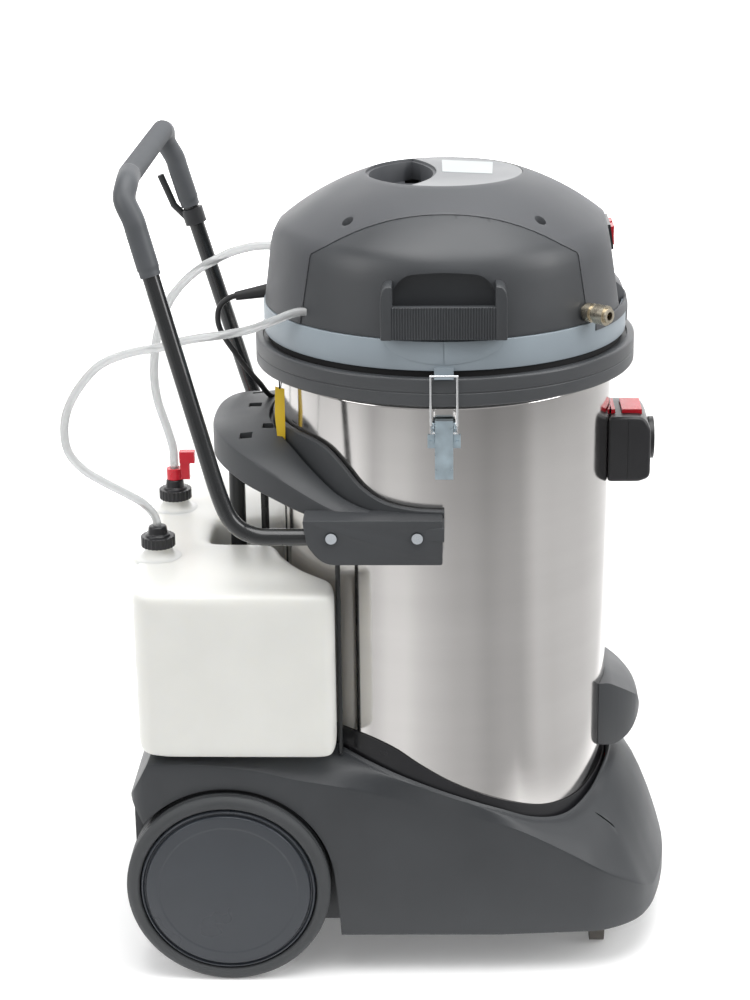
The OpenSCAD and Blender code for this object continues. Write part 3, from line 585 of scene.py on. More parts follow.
def cut(piece, *cutters, operation="DIFFERENCE"):
    for cutter in cutters:
        shape(piece, "BOOLEAN", object=cutter, operation=operation, solver="EXACT")
        bpy.data.objects.remove(cutter)
    return piece


def joined(piece, *others):
    pick(piece)
    for other in others:
        other.select_set(True)
    bpy.ops.object.join()
    return piece


def mirrored(piece, name):
    """A copy with its own mesh, on the machine's other side."""
    copy = piece.copy()
    copy.data = piece.data.copy()
    copy.name = name
    bpy.context.scene.collection.objects.link(copy)
    edit_all(copy)
    bpy.ops.transform.mirror(constraint_axis=(False, True, False),
                             orient_type="GLOBAL", center_override=(0, 0, 0))
    bpy.ops.mesh.flip_normals()
    bpy.ops.object.mode_set(mode="OBJECT")
    return copy


def done(piece, body, slot, *stands_for, smooth=32, finish_name=None):
    pick(piece)
    bpy.ops.object.shade_smooth_by_angle(angle=math.radians(smooth))
    piece.data.materials.clear()
    piece.data.materials.append(finishes[finish_name or slot])
    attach(piece, body)
    if stands_for:
        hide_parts(*stands_for)
    faces = sum(len(p.vertices) - 2 for p in piece.data.polygons)
    low = [round(min(v.co[i] for v in piece.data.vertices) / MM) for i in range(3)]
    high = [round(max(v.co[i] for v in piece.data.vertices) / MM) for i in range(3)]
    print(f"{piece.name}: {faces} triangles, {low} to {high} mm")
    return piece


# %% [markdown]
# The drum is one sheet of stainless steel, rolled, welded and beaded. A turned double wall gives it
# its true thickness. The bottom edge is rounded over a small radius, and just under the collar the
# sheet swells into a bead. The hose port is bored through the front.

# %% Drum
INLET_Z = 633
drum = turned("drum_shell", rounded([
    (0, 76), (197, 76), (201.5, 76, 4), (201.5, 84), (201.5, 730), (199, 733, 2), (199, 738, 2),
    (201.5, 741, 2), (201.5, 760), (203, 760), (203, 741, 2), (200.6, 738, 2), (200.6, 733, 2),
    (203, 730, 2), (203, 84), (203, 75, 7), (194, 75), (0, 75)], steps=4), steps=240)
port = draw("port_cutter", [at(150, 23 * math.cos(a), INLET_Z + 23 * math.sin(a))
                            for a in (TURN * k / 48 for k in range(48))], True)
bpy.ops.mesh.edge_face_add()
bpy.ops.mesh.extrude_region_move(TRANSFORM_OT_translate={"value": (0.1, 0, 0)})
tidy_faces()
cut(drum, port)
done(drum, "chassis", "drum_steel", "drum", smooth=40)

# %% [markdown]
# A black rubber ring fills the gap between the drum's foot and the trolley. It stands higher at the
# back than at the front, so a net is laid over rings whose height changes with the angle.

# %% Rubber ring at the drum's foot
RING_TOP = [(-206, 318), (-130, 316), (-94, 312), (-60, 301), (-32, 284), (10, 260), (75, 230),
            (120, 212), (150, 207), (168, 208), (190, 216), (206, 224)]


def level_at(x, table):
    """Height at x on a smooth curve through the table's (x, height) points."""
    x = min(max(x, table[0][0]), table[-1][0])
    k = next(i for i in range(1, len(table)) if x <= table[i][0])
    (x0, z0), (x1, z1) = table[k - 1], table[k]
    before, after = table[max(k - 2, 0)], table[min(k + 1, len(table) - 1)]
    t, width = (x - x0) / (x1 - x0), x1 - x0
    slope0 = (z1 - before[1]) / (x1 - before[0]) * width
    slope1 = (after[1] - z0) / (after[0] - x0) * width
    return ((2 * t ** 3 - 3 * t ** 2 + 1) * z0 + (t ** 3 - 2 * t ** 2 + t) * slope0
            + (3 * t ** 2 - 2 * t ** 3) * z1 + (t ** 3 - t ** 2) * slope1)


foot_rows = []
for r, drop, fixed in ((203.2, 0, 90), (203.2, 1.0, 0), (203.8, 0.2, 0), (204.8, 0.4, 0),
                       (205.4, 1.6, 0), (205.4, 0, 90), (203.2, 0, 90)):
    foot_rows.append([polar(r, 2 * k, fixed or level_at(r * math.cos(math.radians(2 * k)), RING_TOP)
                            - drop) for k in range(180)])
foot_ring = net("drum_foot_ring", foot_rows, caps=False)
done(foot_ring, "chassis", "seal_rubber", finish_name="cap_black", smooth=40)

# %% [markdown]
# The collar is the thick plastic ring on the drum's mouth that the head sits in. It overhangs the
# steel, and its two outer edges are softly rounded. A fine parting groove runs round it.

# %% Collar
collar = turned("drum_collar_ring", rounded([
    (203.2, 740), (224, 740, 1), (230, 740, 4), (230, 755, 0.6), (229.2, 755.6), (229.2, 756.4),
    (230, 757, 0.6), (230, 773, 3), (220.5, 773, 1), (220.5, 770), (196, 770), (196, 760.2),
    (203.2, 760.2)], True, 4), steps=200)
done(collar, "chassis", "collar_plastic", "drum_collar")

# %% [markdown]
# The trolley is one large dark moulding. Its plan is a long rounded nose and a straight rear. A
# vertical side wall ends in a crease that starts level over the wheel and sweeps down to the nose.
# Above the crease the top leans in to the rim of the cup that holds the drum. A net of rings from
# the floor up follows all of that: bottom, wall, crease, top, rim and the inside of the cup.

# %% Trolley: plan, crease and rim
REAR_X, NOSE_X, HALF_WIDTH, BOTTOM_Z = -383, 284, 216, 56
half_plan = rounded([(REAR_X, 0), (REAR_X, HALF_WIDTH, 26), (-130, 216), (66, 213.5), (190, 203, 14),
                     (217, 191, 14), (243, 170, 16), (261, 136, 18), (273, 92, 22), (282, 40, 24),
                     (NOSE_X, 0)], steps=6)
spread = []
for a, b in zip(half_plan, half_plan[1:]):
    parts = max(1, round((b - a).length / 9))
    spread += [a.lerp(b, k / parts) for k in range(parts)]
spread.append(half_plan[-1])
plan = spread + [Vector((p.x, -p.y)) for p in spread[-2:0:-1]]


CREASE = [(-383, 287), (-295, 287.5), (-230, 280), (-184, 269), (-137, 261), (-92, 252), (-6, 228),
          (75, 206), (141, 172), (207, 131), (241, 106), (262, 86), (284, 84)]
RIM = [(-383, 298), (-165, 298), (-125, 292), (-54, 270), (6, 249), (67, 224), (110, 203),
       (150, 193), (180, 203), (200, 219), (213, 229)]
CUP_R = 206


def trolley_rings():
    rows = []
    edge = [(5, BOTTOM_Z - 5), (1.5, BOTTOM_Z - 3.5), (0, 0), (0, 0.5), (0, 1)]
    steps_up = [0.05, 0.12, 0.2, 0.3, 0.42, 0.56, 0.7, 0.82, 0.92, 0.98]
    rim_rows = [(7.5, -2.2), (6, 0), (4.2, -0.6), (3.4, -6), (1.2, -8), (1.0, -16), (0.6, -18)]
    rows.append([at(*(p * (1 - 8 / p.length)), BOTTOM_Z) for p in plan])
    rows.append([at(*(p * (1 - 4 / p.length)), BOTTOM_Z) for p in plan])
    rows.append([at(*(p * (1 - 1 / p.length)), BOTTOM_Z + 1.2) for p in plan])
    rows.append([at(*p, BOTTOM_Z + 5) for p in plan])
    for share in (0.25, 0.5, 0.75, 0.94, 0.985):
        rows.append([at(*p, BOTTOM_Z + 5 + (level_at(p.x, CREASE) - BOTTOM_Z - 5) * share)
                     for p in plan])
    for share in [0.008] + steps_up:
        row = []
        for p in plan:
            out = p.normalized()
            rim = out * (CUP_R + 9)
            span = (p - rim).length
            rear = 1 if p.x < -150 else max(0, (-60 - p.x) / 90) if p.x < -60 else 0
            reach = span * (1 - rear) + min(span, 46) * rear
            nose = max(0.0, 1 - abs(p.y) / 110) if p.x > 0 else 0
            rise = math.sin(min(1.0, share * span / reach) * math.pi / 2) ** (1.05 - 0.2 * nose)
            top = level_at((out * (CUP_R + 6)).x, RIM) - 3.5
            low = level_at(p.x, CREASE)
            row.append(at(*p.lerp(rim, share), low + (top - low) * rise))
        rows.append(row)
    for inset, drop in rim_rows:
        rows.append([at(*(p.normalized() * (CUP_R + inset)),
                        level_at((p.normalized() * (CUP_R + 6)).x, RIM) + drop) for p in plan])
    rows.append([at(*(p.normalized() * (CUP_R + 0.4)), 73) for p in plan])
    return rows


trolley = net("trolley_shell", trolley_rings())
print("trolley net:", len(plan), "points round")

# %% [markdown]
# Openings in the trolley. A wheel well is bored in from each side, its mouth follows the tyre and
# opens downwards, and behind it the fender stops in a slanted tip. The rear face leans forward. The
# nose carries a notch for the catch and two slanted slots, and the front part is hollowed from
# below. All are cut with solids and the new edges rounded.

# %% Wheel wells, slanted rear, notch and slots
WHEEL_X, WHEEL_Z = -265, 125
arch = [(WHEEL_X + 131 * math.cos(a), WHEEL_Z + 131 * math.sin(a))
        for a in (math.radians(5 + 136 * k / 34) for k in range(35))]
mouth = arch + [(-386, 246), (-420, 262), (-420, 30), (-126, 30), (-130, 90)]
for side in (-1, 1):
    cut(trolley, side_slab("well_cutter", mouth, side * 172, side * 260))
    slot_place = [(182, 174), (186, 171), (203, 155), (205, 150), (200, 152), (184, 167)]
    slot_cutter = slab("slot_cutter", [at(x - 3, side * 132, z + 4) for x, z in slot_place],
                       (14, side * 16, 22))
    cut(trolley, slot_cutter)
cut(trolley, side_slab("rear_cutter", [(-420, 180), (-389, 225), (-383, 240), (-353, 300),
                                       (-353, 330), (-420, 330)], -260, 260))
cut(trolley, side_slab("notch_cutter", [(180, 184), (212, 184), (214, 190), (236, 300), (180, 300)],
                       -14, 14))
underside = [(p * (1 - 9 / p.length)) for p in plan[::2] if p.x > -120]
cut(trolley, plan_slab("belly_cutter", underside, 30, 70))
soften(trolley, 2.2, 2, 42)
done(trolley, "chassis", "trolley_plastic", "base", smooth=30)

# %% [markdown]
# The rear wheels are a solid grey tyre on a plastic hub. A dark groove parts the two, the cap is
# slightly domed, and the tread has three shallow grooves. One wheel is turned and then mirrored.

# %% Wheels
tyre = turned_across("tyre_near_ring", rounded([
    (108.4, 181), (119, 181, 3), (125, 187, 5), (125, 193.5), (123.8, 194), (123.8, 196),
    (125, 196.5), (125, 204.5), (123.8, 205), (123.8, 207), (125, 207.5), (125, 215.5),
    (123.8, 216), (123.8, 218), (125, 218.5), (125, 223, 4), (119, 229, 5), (111, 229, 2),
    (108.4, 225, 1)], True, 4), WHEEL_X, WHEEL_Z, 128)
hub = turned_across("hub_near_cap", rounded([
    (9, 184), (22, 184, 1), (22, 218, 2), (101, 212, 2), (101, 188, 1), (107.6, 188, 1),
    (107.6, 224, 1), (106, 227.6, 1.5), (104.5, 228.2, 1), (103, 224.5, 0.8), (101.2, 224.5, 0.8),
    (100, 229.4, 1.5), (86, 229.8, 6), (84, 229.2, 2), (40, 229.9, 10), (0, 230), (0, 223.2), (9, 223.2)],
    True, 4), WHEEL_X, WHEEL_Z, 128)
far_tyre, far_hub = mirrored(tyre, "tyre_far_ring"), mirrored(hub, "hub_far_cap")
for side, ring, cap in (("near", tyre, hub), ("far", far_tyre, far_hub)):
    done(ring, "wheel_" + side, "tyre_rubber", "tyre_" + side)
    done(cap, "wheel_" + side, "hub_plastic", "hub_" + side)

# %% [markdown]
# The motor head. Its cover is a shallow dome with a flat crown, turned from one profile. An arched
# window is cut from each side, the front is planed to a slanted face for the switches, and the
# flat crown has a finger well. The inside is hollowed last, so every cut keeps its floor.

# %% Head cover
CROWN_R, DOME_R, DOME_Z, HEAD_TOP = 95, 309, 671, 965
dome_arc = []
for k in range(15):
    r = CROWN_R + (199 - CROWN_R) * k / 14
    dome_arc.append((r, DOME_Z + math.sqrt(DOME_R ** 2 - r * r)))


def dome_profile(inset=0.0, low=814.3):
    return ([(0, low), (0, HEAD_TOP - inset), (92, HEAD_TOP - inset)]
            + [(r - inset * 0.4, z - inset * 0.9) for r, z in dome_arc]
            + [(203.4 - inset, 899.5), (206 - inset, 894), (208.2 - inset, 885), (210 - inset, 873),
               (213.5 - inset, 845), (217 - inset, 818), (217.2 - inset, low)])


def arch_outline(gap=0.0):
    side = [(-166 + gap, 800), (-166 + gap, 816), (-165.4 + gap, 820), (-153.6 + gap, 893)]
    top = []
    for k in range(25):
        x = -152 + 304 * k / 24
        top.append((x * (1 - gap / 153), 943 - gap - 47 * (abs(x) / 153) ** 2.15))
    return side + top + [(-x, z) for x, z in reversed(side)]


well = [(-148 + 135 * math.cos(a), 135 * math.sin(a))
        for a in (math.radians(-36.7 + 73.4 * k / 20) for k in range(21))]
well += [(90 * math.cos(a), 90 * math.sin(a))
         for a in (math.radians(116.3 + 127.4 * k / 28) for k in range(1, 28))]


def facet_cutter(reach):
    """The slanted plane of the front, with everything in front of it."""
    low, high = 812.0, 975.0
    lean = math.tan(math.radians(8.6))
    return side_slab("facet_cutter", [
        (197.5 + reach - (low - 875) * lean, low), (300, low), (300, high),
        (197.5 + reach - (high - 875) * lean, high)], -112, 112)


head = turned("head_cover_shell", dome_profile(), 240)
hollow = turned("hollow_cutter", [(0, 812), (212, 812), (205, 870), (196, 895), (165, 910), (0, 910)],
                96)
cut(hollow, facet_cutter(-7))
cut(head, facet_cutter(0), hollow)
cut(head, side_slab("arch_cutter", arch_outline(), -260, -62),
    side_slab("arch_cutter", arch_outline(), 62, 260))
cut(head, turned("inlay_cutter", [(0, 962), (93.5, 962), (93.5, 980), (0, 980)], 160))
cut(head, plan_slab("well_cutter", well, 939, 980))
for x in (-110, 110):
    for y in (-125, 125):
        hole = [(x + 6.5 * math.cos(TURN * k / 32), y + 6.5 * math.sin(TURN * k / 32))
                for k in range(32)]
        cut(head, plan_slab("screw_cutter", hole, 920, 980))
lean = math.tan(math.radians(8.6))
for y in (-15, 15):
    cut(head, side_slab("rocker_cutter", [(189, 879.5), (202, 877.5), (200, 903.5), (186, 903.5)],
                        y - 11.4, y + 11.4))
soften(head, 0.7, 2, 38)
done(head, "chassis", "head_plastic", "head_cover", smooth=26)

# %% [markdown]
# The crown's inlay is a smooth disc set flush, cut along the well's curved edge, with a
# small blank plate on it. Its own hairline gap shows because it is turned a little smaller.

# %% Crown inlay and blank plate
inlay = turned("crown_inlay", [(0, 962), (92.9, 962), (92.9, 964.6), (92.5, 965), (0, 965)], 160)
edge = [(-148 + 139 * math.cos(a), 139 * math.sin(a)) for a in (TURN * k / 90 for k in range(90))]
cut(inlay, plan_slab("inlay_edge_cutter", edge, 950, 990))
done(inlay, "chassis", "inlay_plastic", "top_panel")
plate = plan_slab("blank_plate", rounded([(-2, -4, 1.5), (57, -19, 1.5), (59, 57, 1.5), (-3, 74, 1.5)],
                                         True, 3), 964.8, 965.4)
soften(plate, 0.15, 1)
done(plate, "chassis", "inlay_plastic", finish_name="label_blank")

# %% [markdown]
# Each side has an arched panel with a carry handle moulded in: a hollow for the fingers, a post at
# each end, and between them a bar whose face has fine upright ribs. The panel is the dome's own shape
# cut to the arch, a hair lower than the cover, so that the joint shows as a thin dark line.

# %% Side panels with carry bars
panel = turned("side_panel_near_arch", dome_profile(0.7), 240)
cut(panel, side_slab("arch_keeper", arch_outline(0.55), -260, -100), operation="INTERSECT")
cut(panel, turned("panel_back_cutter", [(0, 700), (184, 700), (184, 870), (165, 905), (120, 925),
                                        (0, 935)], 96))
hollow_outline = rounded([(-59, 800), (-59, 868, 16), (-44, 886, 14), (0, 890, 20), (44, 886, 14),
                          (59, 868, 16), (59, 800)], True, 5)
cut(panel, side_slab("finger_cutter", hollow_outline, -260, -194.5))
soften(panel, 1.6, 3, 40)
ribs = []
for k in range(39):
    x = -58 + 3.05 * k
    ribs += [(x, -230.0), (x + 0.7, -230.9), (x + 1.8, -230.9), (x + 2.5, -230.0)]
bar = plan_slab("carry_bar", [(-60, -221), (60, -221)] + ribs[::-1], 818, 855.5)
soften(bar, 0.6, 1, 60)
post_outline = rounded([(57.5, 817.5), (57.5, 880, 3), (67.5, 878, 8), (70.8, 866, 8), (71, 817.5)],
                       True, 4)
posts = []
for side in (-1, 1):
    post = side_slab("carry_post", [(side * x, z) for x, z in post_outline], -231, -190)
    posts.append(soften(post, 2.4, 3, 50))
sill = plan_slab("carry_sill", [(-60, -196), (60, -196), (60, -222), (-60, -222)], 818, 821)
joined(panel, bar, sill, *posts)
far_panel = mirrored(panel, "side_panel_far_arch")
done(panel, "chassis", "panel_plastic", "side_panel_near", smooth=28)
done(far_panel, "chassis", "panel_plastic", "side_panel_far", smooth=28)

# %% [markdown]
# Below the cover runs a blue-grey band. Under each carry bar it carries a half-moon piece with a
# seam down its middle, and at the front the cover reaches down over it in a short apron.

# %% Band, half moons, apron and front lip
band = turned("head_band_ring", rounded([
    (24, 779), (219, 779, 1.5), (219, 813.6, 1), (214, 813.6), (214, 786), (24, 786)], True, 3), 240)
for side in (-1, 1):
    clip = slab("latch_catch", [at(x, side * y, 773.4) for x, y in (
        (-11, -234.6), (11, -234.6), (11, -214), (-11, -214))], (0, 0, 2.3))
    riser = slab("catch_riser", [at(x, side * y, 773.4) for x, y in (
        (-11, -222), (11, -222), (11, -215.5), (-11, -215.5))], (0, 0, 10))
    joined(band, soften(clip, 0.5, 2), riser)
done(band, "chassis", "band_plastic", "head_band", smooth=28)
moon_outline = [(68 * math.cos(a), 814.5 + 27.5 * math.sin(a))
                for a in (math.radians(180 + 180 * k / 32) for k in range(33))]
moon = turned("half_moon_near", [(214, 780), (219.9, 780), (219.9, 813.4), (214, 813.4)], 240)
cut(moon, side_slab("moon_keeper", moon_outline, -260, -150), operation="INTERSECT")
cut(moon, side_slab("moon_seam", [(-0.5, 770), (0.5, 770), (0.5, 830), (-0.5, 830)], -260, -219.2))
soften(moon, 0.5, 2, 50)
far_moon = mirrored(moon, "half_moon_far")
for piece in (moon, far_moon):
    done(piece, "chassis", "band_plastic", smooth=30)
apron = turned("front_apron", rounded([(216, 803), (220.4, 803, 1), (219.6, 816, 1), (216, 816)],
                                      True, 3), 240)
wedge = [(0, 0), (330, -249), (330, 249)]
cut(apron, plan_slab("apron_keeper", wedge, 700, 900), operation="INTERSECT")
done(apron, "chassis", "head_plastic", smooth=30)
lip = side_slab("front_lip", rounded([(196, 784), (221, 784, 3), (222, 806, 8), (213, 829, 8),
                                      (203, 838, 3), (196, 838)], True, 5), -34, 34)
cut(lip, plan_slab("lip_keeper", [(178 + 44 * math.cos(a), 36 * math.sin(a))
                                  for a in (TURN * k / 64 for k in range(64))], 700, 900),
    operation="INTERSECT")
soften(lip, 1.5, 2, 50)
done(lip, "chassis", "head_plastic", smooth=40)

# %% [markdown]
# The rack behind the drum holds the cable and accessories. It hugs the drum with a wall, a dark slot
# runs along the wall's foot, and the tray outside it is wide at the rear and sinks towards two
# arms at the sides. One section (radius, height) is drawn at each angle round the drum, and a net
# is laid over all the sections.

# %% Rack
WALL_TOP = [(0, 677), (38, 677), (48, 671), (55, 655), (62, 632), (70, 617), (80, 611), (90, 610)]
TRAY_TOP = [(0, 670), (18, 669), (32, 660), (44, 640), (56, 617), (68, 606), (90, 603)]
TRAY_OUT = [(0, 285), (16, 285), (28, 276), (42, 254), (54, 240), (64, 236), (90, 236)]
TRAY_EDGE = [(0, 664), (18, 663), (32, 650), (44, 628), (56, 608), (68, 600), (90, 597)]
SKIRT_LOW = [(0, 628), (20, 626), (34, 613), (46, 598), (58, 588), (72, 581), (90, 580)]
sections = []
for k in range(91):
    degrees = -90 + 2 * k
    off_rear = abs(degrees)
    wall, tray = level_at(off_rear, WALL_TOP), level_at(off_rear, TRAY_TOP)
    out, rim = level_at(off_rear, TRAY_OUT), level_at(off_rear, TRAY_EDGE)
    low = level_at(off_rear, SKIRT_LOW)
    section = [(204.6, low + 2), (204.6, wall - 2), (206, wall), (209.5, wall), (211, wall - 2),
               (211.6, tray - 9), (215.2, tray - 9), (215.8, tray - 1.5), (217, tray),
               (217 + (out - 217) * 0.35, tray - 0.5),
               (217 + (out - 217) * 0.7, tray - 1.5 + (rim - tray) * 0.4),
               (out - 3, rim + 1.5), (out - 0.8, rim), (out, rim - 2.5), (out, low + 2),
               (out - 1.5, low), (206, low)]
    sections.append([polar(r, 180 + degrees, z) for r, z in section])
rack = net("rack_tray", sections)
for x, y, size in ((-236, 22, 8), (-238, -92, 7.5), (-212, -66, 8), (-238, 92, 7.5), (-212, 66, 8)):
    cut(rack, plan_slab("square_cutter", [(x - size, y - size), (x + size, y - size),
                                          (x + size, y + size), (x - size, y + size)], 640, 700))
arm_outline = rounded([(-163, 606, 3), (-2, 606, 3), (-2, 552, 3), (-140, 552, 22), (-158, 575, 6)],
                      True, 5)
arm = side_slab("arm", arm_outline, -235, -197)
cut(arm, turned("drum_cutter", [(0, 500), (204.6, 500), (204.6, 700), (0, 700)], 160))
for x in (-130, -31):
    cut(arm, turned_across("screw_seat", [(0, 234), (7.2, 234), (7.2, 240), (0, 240)], x, 585, 40))
soften(arm, 2.2, 3, 40)
far_arm = mirrored(arm, "arm_far")
soften(rack, 0.8, 1, 55)
joined(rack, arm, far_arm)
done(rack, "chassis", "rack_plastic", "rack", smooth=34)
stay = plan_slab("stay_rod_near", [(-126 + 3 * math.cos(TURN * k / 20), -185 + 3 * math.sin(TURN * k / 20))
                                   for k in range(20)], 290, 596)
soften(stay, 0.6, 1, 50)
far_stay = mirrored(stay, "stay_rod_far")
for piece in (stay, far_stay):
    done(piece, "chassis", "post_enamel")

# %% [markdown]
# The tank is blow-moulded, so it has no sharp edge anywhere. Its plan is pushed up to a block first.
# Then the block is rebuilt from small even squares and smoothed many times, which pulls every edge
# and corner into a wide roll, much as the melt does against a cool mould. The two necks rise
# from a soft foot, turned separately.

# %% Solution tank
half = rounded([(-381, 0), (-379, 60), (-375, 150), (-366, 221, 36), (-322, 226, 20), (-155, 226),
                (-130, 224, 16), (-130, 176, 6)]
               + [(-213.5 * math.cos(math.radians(a)), 213.5 * math.sin(math.radians(a)))
                  for a in (50, 44, 38, 32, 26, 20, 14)]
               + [(-212, 42, 8), (-293, 40, 14), (-293, 0)], steps=7)
tank = plan_slab("tank_body", half + [Vector((p.x, -p.y)) for p in half[-2:0:-1]], 298.4, 510.4)
shape(tank, "REMESH", mode="VOXEL", voxel_size=0.0032)
shape(tank, "SMOOTH", factor=0.5, iterations=70)
shape(tank, "DECIMATE", ratio=0.5)


def turned_at(name, profile, x, y, steps=64):
    piece = draw(name, [at(x + r, y, z) for r, z in profile], True)
    bpy.ops.mesh.spin(steps=steps, angle=TURN, center=at(x, y, 0), axis=(0, 0, 1))
    tidy_faces()
    return piece


NECK_X, NECK_Y = -350, 90
necks = [turned_at("neck", rounded([(12.5, 505), (31, 505), (29, 510.4, 3), (21, 512, 6),
                                    (17.2, 518, 4), (17, 531.5, 1), (12.5, 531.5)], True, 5),
                   NECK_X, y) for y in (-NECK_Y, NECK_Y)]
joined(tank, *necks)
done(tank, "chassis", "tank_white", "solution_tank", smooth=60)

# %% [markdown]
# Screw caps with grip notches, made once and copied. The hose leaves through the
# raised middle.

# %% Tank caps
cap_outline = []
for k in range(96):
    grip = 20.9 if k % 4 < 2 else 20.0
    cap_outline.append((NECK_X + grip * math.cos(TURN * k / 96), -NECK_Y + grip * math.sin(TURN * k / 96)))
cap = plan_slab("cap_near_screw", cap_outline, 524, 537)
soften(cap, 0.5, 1, 50)
inside = turned_at("cap_cutter", [(0, 520), (17.05, 520), (17.05, 532), (5.1, 532), (5.1, 560), (0, 560)],
                   NECK_X, -NECK_Y)
top = turned_at("cap_boss", rounded([(5.05, 536), (16, 536), (15, 539, 2), (12, 540, 1), (11, 549, 3),
                                     (8, 550, 1), (5.05, 550)], True, 3), NECK_X, -NECK_Y)
cut(cap, inside)
joined(cap, top)
far_cap = mirrored(cap, "cap_far_screw")
done(cap, "cap_near", "cap_black", "tank_cap_near")
done(far_cap, "cap_far", "cap_black", "tank_cap_far")

# %% [markdown]
# The push handle is one bent steel tube, enamelled black. Its upper bow is covered by a moulded
# grip: smooth sleeves round the corners, and fine rings on the straight crossbar. Both are
# curves with a round section, and the rings come from the curve's own radius at each point.

# %% Push handle and grip
def leg(z):
    return (-277.4 - 0.276 * (z - 700), -217 + 0.0844 * (z - 700), z)


foot = [(-80, -222, 582), (-120, -222, 582), (-160, -222, 582), (-195, -222, 582), (-215, -222, 583),
        (-233, -222, 590), (-246, -223, 603), (-254, -223, 620), leg(645)]
near_leg = along(foot + [leg(z) for z in (700, 760, 820, 884, 900)])
for side, name in ((1, "handle_tube_near"), (-1, "handle_tube_far")):
    line = [Vector((p.x, side * p.y, p.z)) for p in smooth_path(near_leg, 5)]
    tube = curve_through(name, line, 10 * MM, "handle_enamel", 8)
    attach(tube, "chassis")
    if side == 1:
        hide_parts("handle_frame")
bar_x = leg(991)[0] + 3
bend = leg(949)
bow = [leg(886), leg(900), leg(918), leg(935), bend, (bar_x - 1, bend[1] + 7, 970),
       (bar_x, bend[1] + 21, 985), (bar_x, -151, 991)]
bow_half = smooth_path(along(bow), 6)
bar_points = [at(bar_x, y / 2, 991) for y in range(-299, 300, 3)]
far_half = [Vector((p.x, -p.y, p.z)) for p in reversed(bow_half)]
grip_line = bow_half + bar_points + far_half
grip = curve_through("handle_grip_moulding", grip_line, 13 * MM, "grip_plastic", 8)
for i, point in enumerate(grip.data.splines[0].points):
    on_bar = len(bow_half) <= i < len(bow_half) + len(bar_points)
    point.radius = (1.01 if i % 2 else 0.955) if on_bar else 1.0
    if i < 4 or i > len(grip_line) - 5:
        point.radius = 0.93
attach(grip, "chassis")
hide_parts("handle_grip")
print("handle tube and grip:", round(length_of(grip_line), 2), "m of grip")

# %% [markdown]
# The hose inlet is a rounded black box on the drum's front with two red release buttons on top. It
# is made in two halves, and the seam between them shows as a groove round its middle.

# %% Hose inlet
inlet = side_slab("inlet_housing", rounded([(190, 589, 6), (237, 589, 3), (251, 594, 10),
                                            (251, 655, 6), (243, 671, 12), (226, 671.5, 4),
                                            (190, 671, 4)], True, 6), -45, 45)
cut(inlet, turned("drum_cutter", [(0, 500), (203.3, 500), (203.3, 700), (0, 700)], 160))
soften(inlet, 5, 4, 50)
bore = draw("bore_cutter", [at(150, 23.1 * math.cos(a), INLET_Z + 23.1 * math.sin(a))
                            for a in (TURN * k / 48 for k in range(48))], True)
bpy.ops.mesh.edge_face_add()
bpy.ops.mesh.extrude_region_move(TRANSFORM_OT_translate={"value": (0.15, 0, 0)})
tidy_faces()
cut(inlet, bore)
for x0, x1 in ((215.8, 241.2), (183, 208.7)):
    cut(inlet, plan_slab("button_cutter", [(x0, -25), (x1, -25), (x1, 25), (x0, 25)], 664, 700))
cut(inlet, side_slab("seam_cutter", [(222.6, 560), (223.6, 560), (223.6, 700), (222.6, 700)],
                     -60, -44.2))
cut(inlet, side_slab("seam_cutter", [(222.6, 560), (223.6, 560), (223.6, 700), (222.6, 700)],
                     44.2, 60))
done(inlet, "chassis", "inlet_plastic", "inlet_box", smooth=40)

# %% [markdown]
# The cup grip low on the drum's front is a half dome, hollow below, for lifting the drum's foot out
# of the trolley. Its side outline is pushed across and then kept only inside an oval plan.

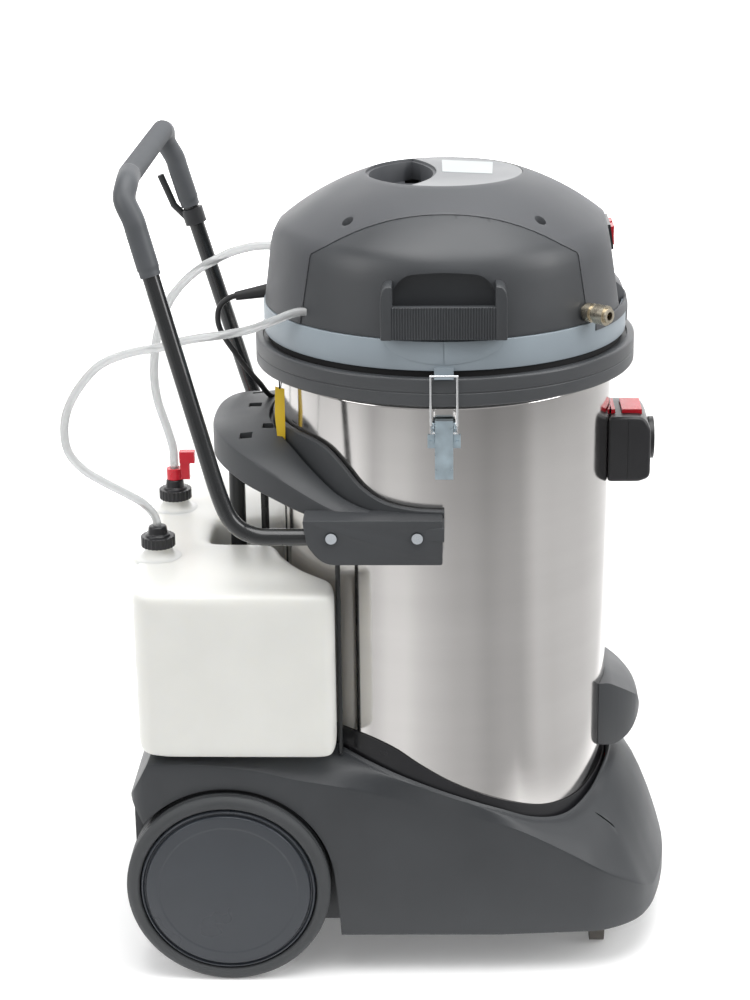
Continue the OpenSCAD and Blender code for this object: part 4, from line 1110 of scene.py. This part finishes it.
# %% Cup grip
cup = side_slab("cup_grip", rounded([(190, 246), (214, 243, 6), (236, 252, 14), (250, 275, 14),
                                     (245, 298, 14), (228, 315, 14), (206, 329, 6), (190, 329)],
                                    True, 6), -66, 66)
oval = [(186 + 64 * math.cos(a), 65 * math.sin(a)) for a in (TURN * k / 96 for k in range(96))]
cut(cup, plan_slab("oval_keeper", oval, 200, 360), operation="INTERSECT")
inner = side_slab("cup_cutter", rounded([(190, 230), (212, 230), (230, 246, 10), (242, 275, 12),
                                         (236, 294, 12), (222, 307, 10), (204, 318, 4), (190, 318)],
                                        True, 5), -60, 60)
small_oval = [(186 + 57 * math.cos(a), 59 * math.sin(a)) for a in (TURN * k / 96 for k in range(96))]
cut(inner, plan_slab("oval_keeper", small_oval, 200, 360), operation="INTERSECT")
cut(cup, inner, turned("drum_cutter", [(0, 200), (203.3, 200), (203.3, 360), (0, 360)], 160))
soften(cup, 3.0, 3, 45)
done(cup, "chassis", "grip_moulding", "drum_grip", smooth=40)

# %% [markdown]
# The cable is closed off now: one curve for the whole lead, black rubber, with a short tie round its coil. A
# blank yellow tag hangs from the collar beside it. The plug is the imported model's own piece.

# %% Mains cable, tag and tie
cable = curve_through("mains_cable", cable_line, CABLE_R * MM, "cable_rubber", 4)
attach(cable, "chassis")
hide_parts("power_cable", "cable_coil")
tag = slab("warning_tag", [at(*p) for p in ((-201, -97, 727), (-190, -97, 724), (-190, -99, 690),
                                            (-190.5, -96, 652), (-200, -96, 662), (-202, -99, 692))],
           (0.1, 0.9, 0))
tag_line = smooth_path(along([(-195, -92, 741), (-196, -95, 734), (-195.5, -97, 724)]), 4)
tag_string = curve_through("tag_string", tag_line, 0.9 * MM, "tie_black", 3)
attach(tag_string, "chassis")
done(tag, "chassis", "cable_rubber", finish_name="tag_yellow")
tie_section = rounded([(-87, -0.0, 3), (-48, 0.0, 3), (-48, 33, 3), (-87, 33, 3)], True, 4)
tie_inner = rounded([(-85.8, 1.2, 3), (-49.2, 1.2, 3), (-49.2, 31.8, 3), (-85.8, 31.8, 3)], True, 4)
tie = net("coil_tie", [[at(COIL_X + x, COIL_Y + y, z + 0.01) for x, z in ring]
                       for ring, y in ((tie_inner, -5), (tie_section, -5), (tie_section, 5),
                                       (tie_inner, 5), (tie_inner, -5))], caps=False)
done(tie, "chassis", "cable_rubber", finish_name="tie_black")
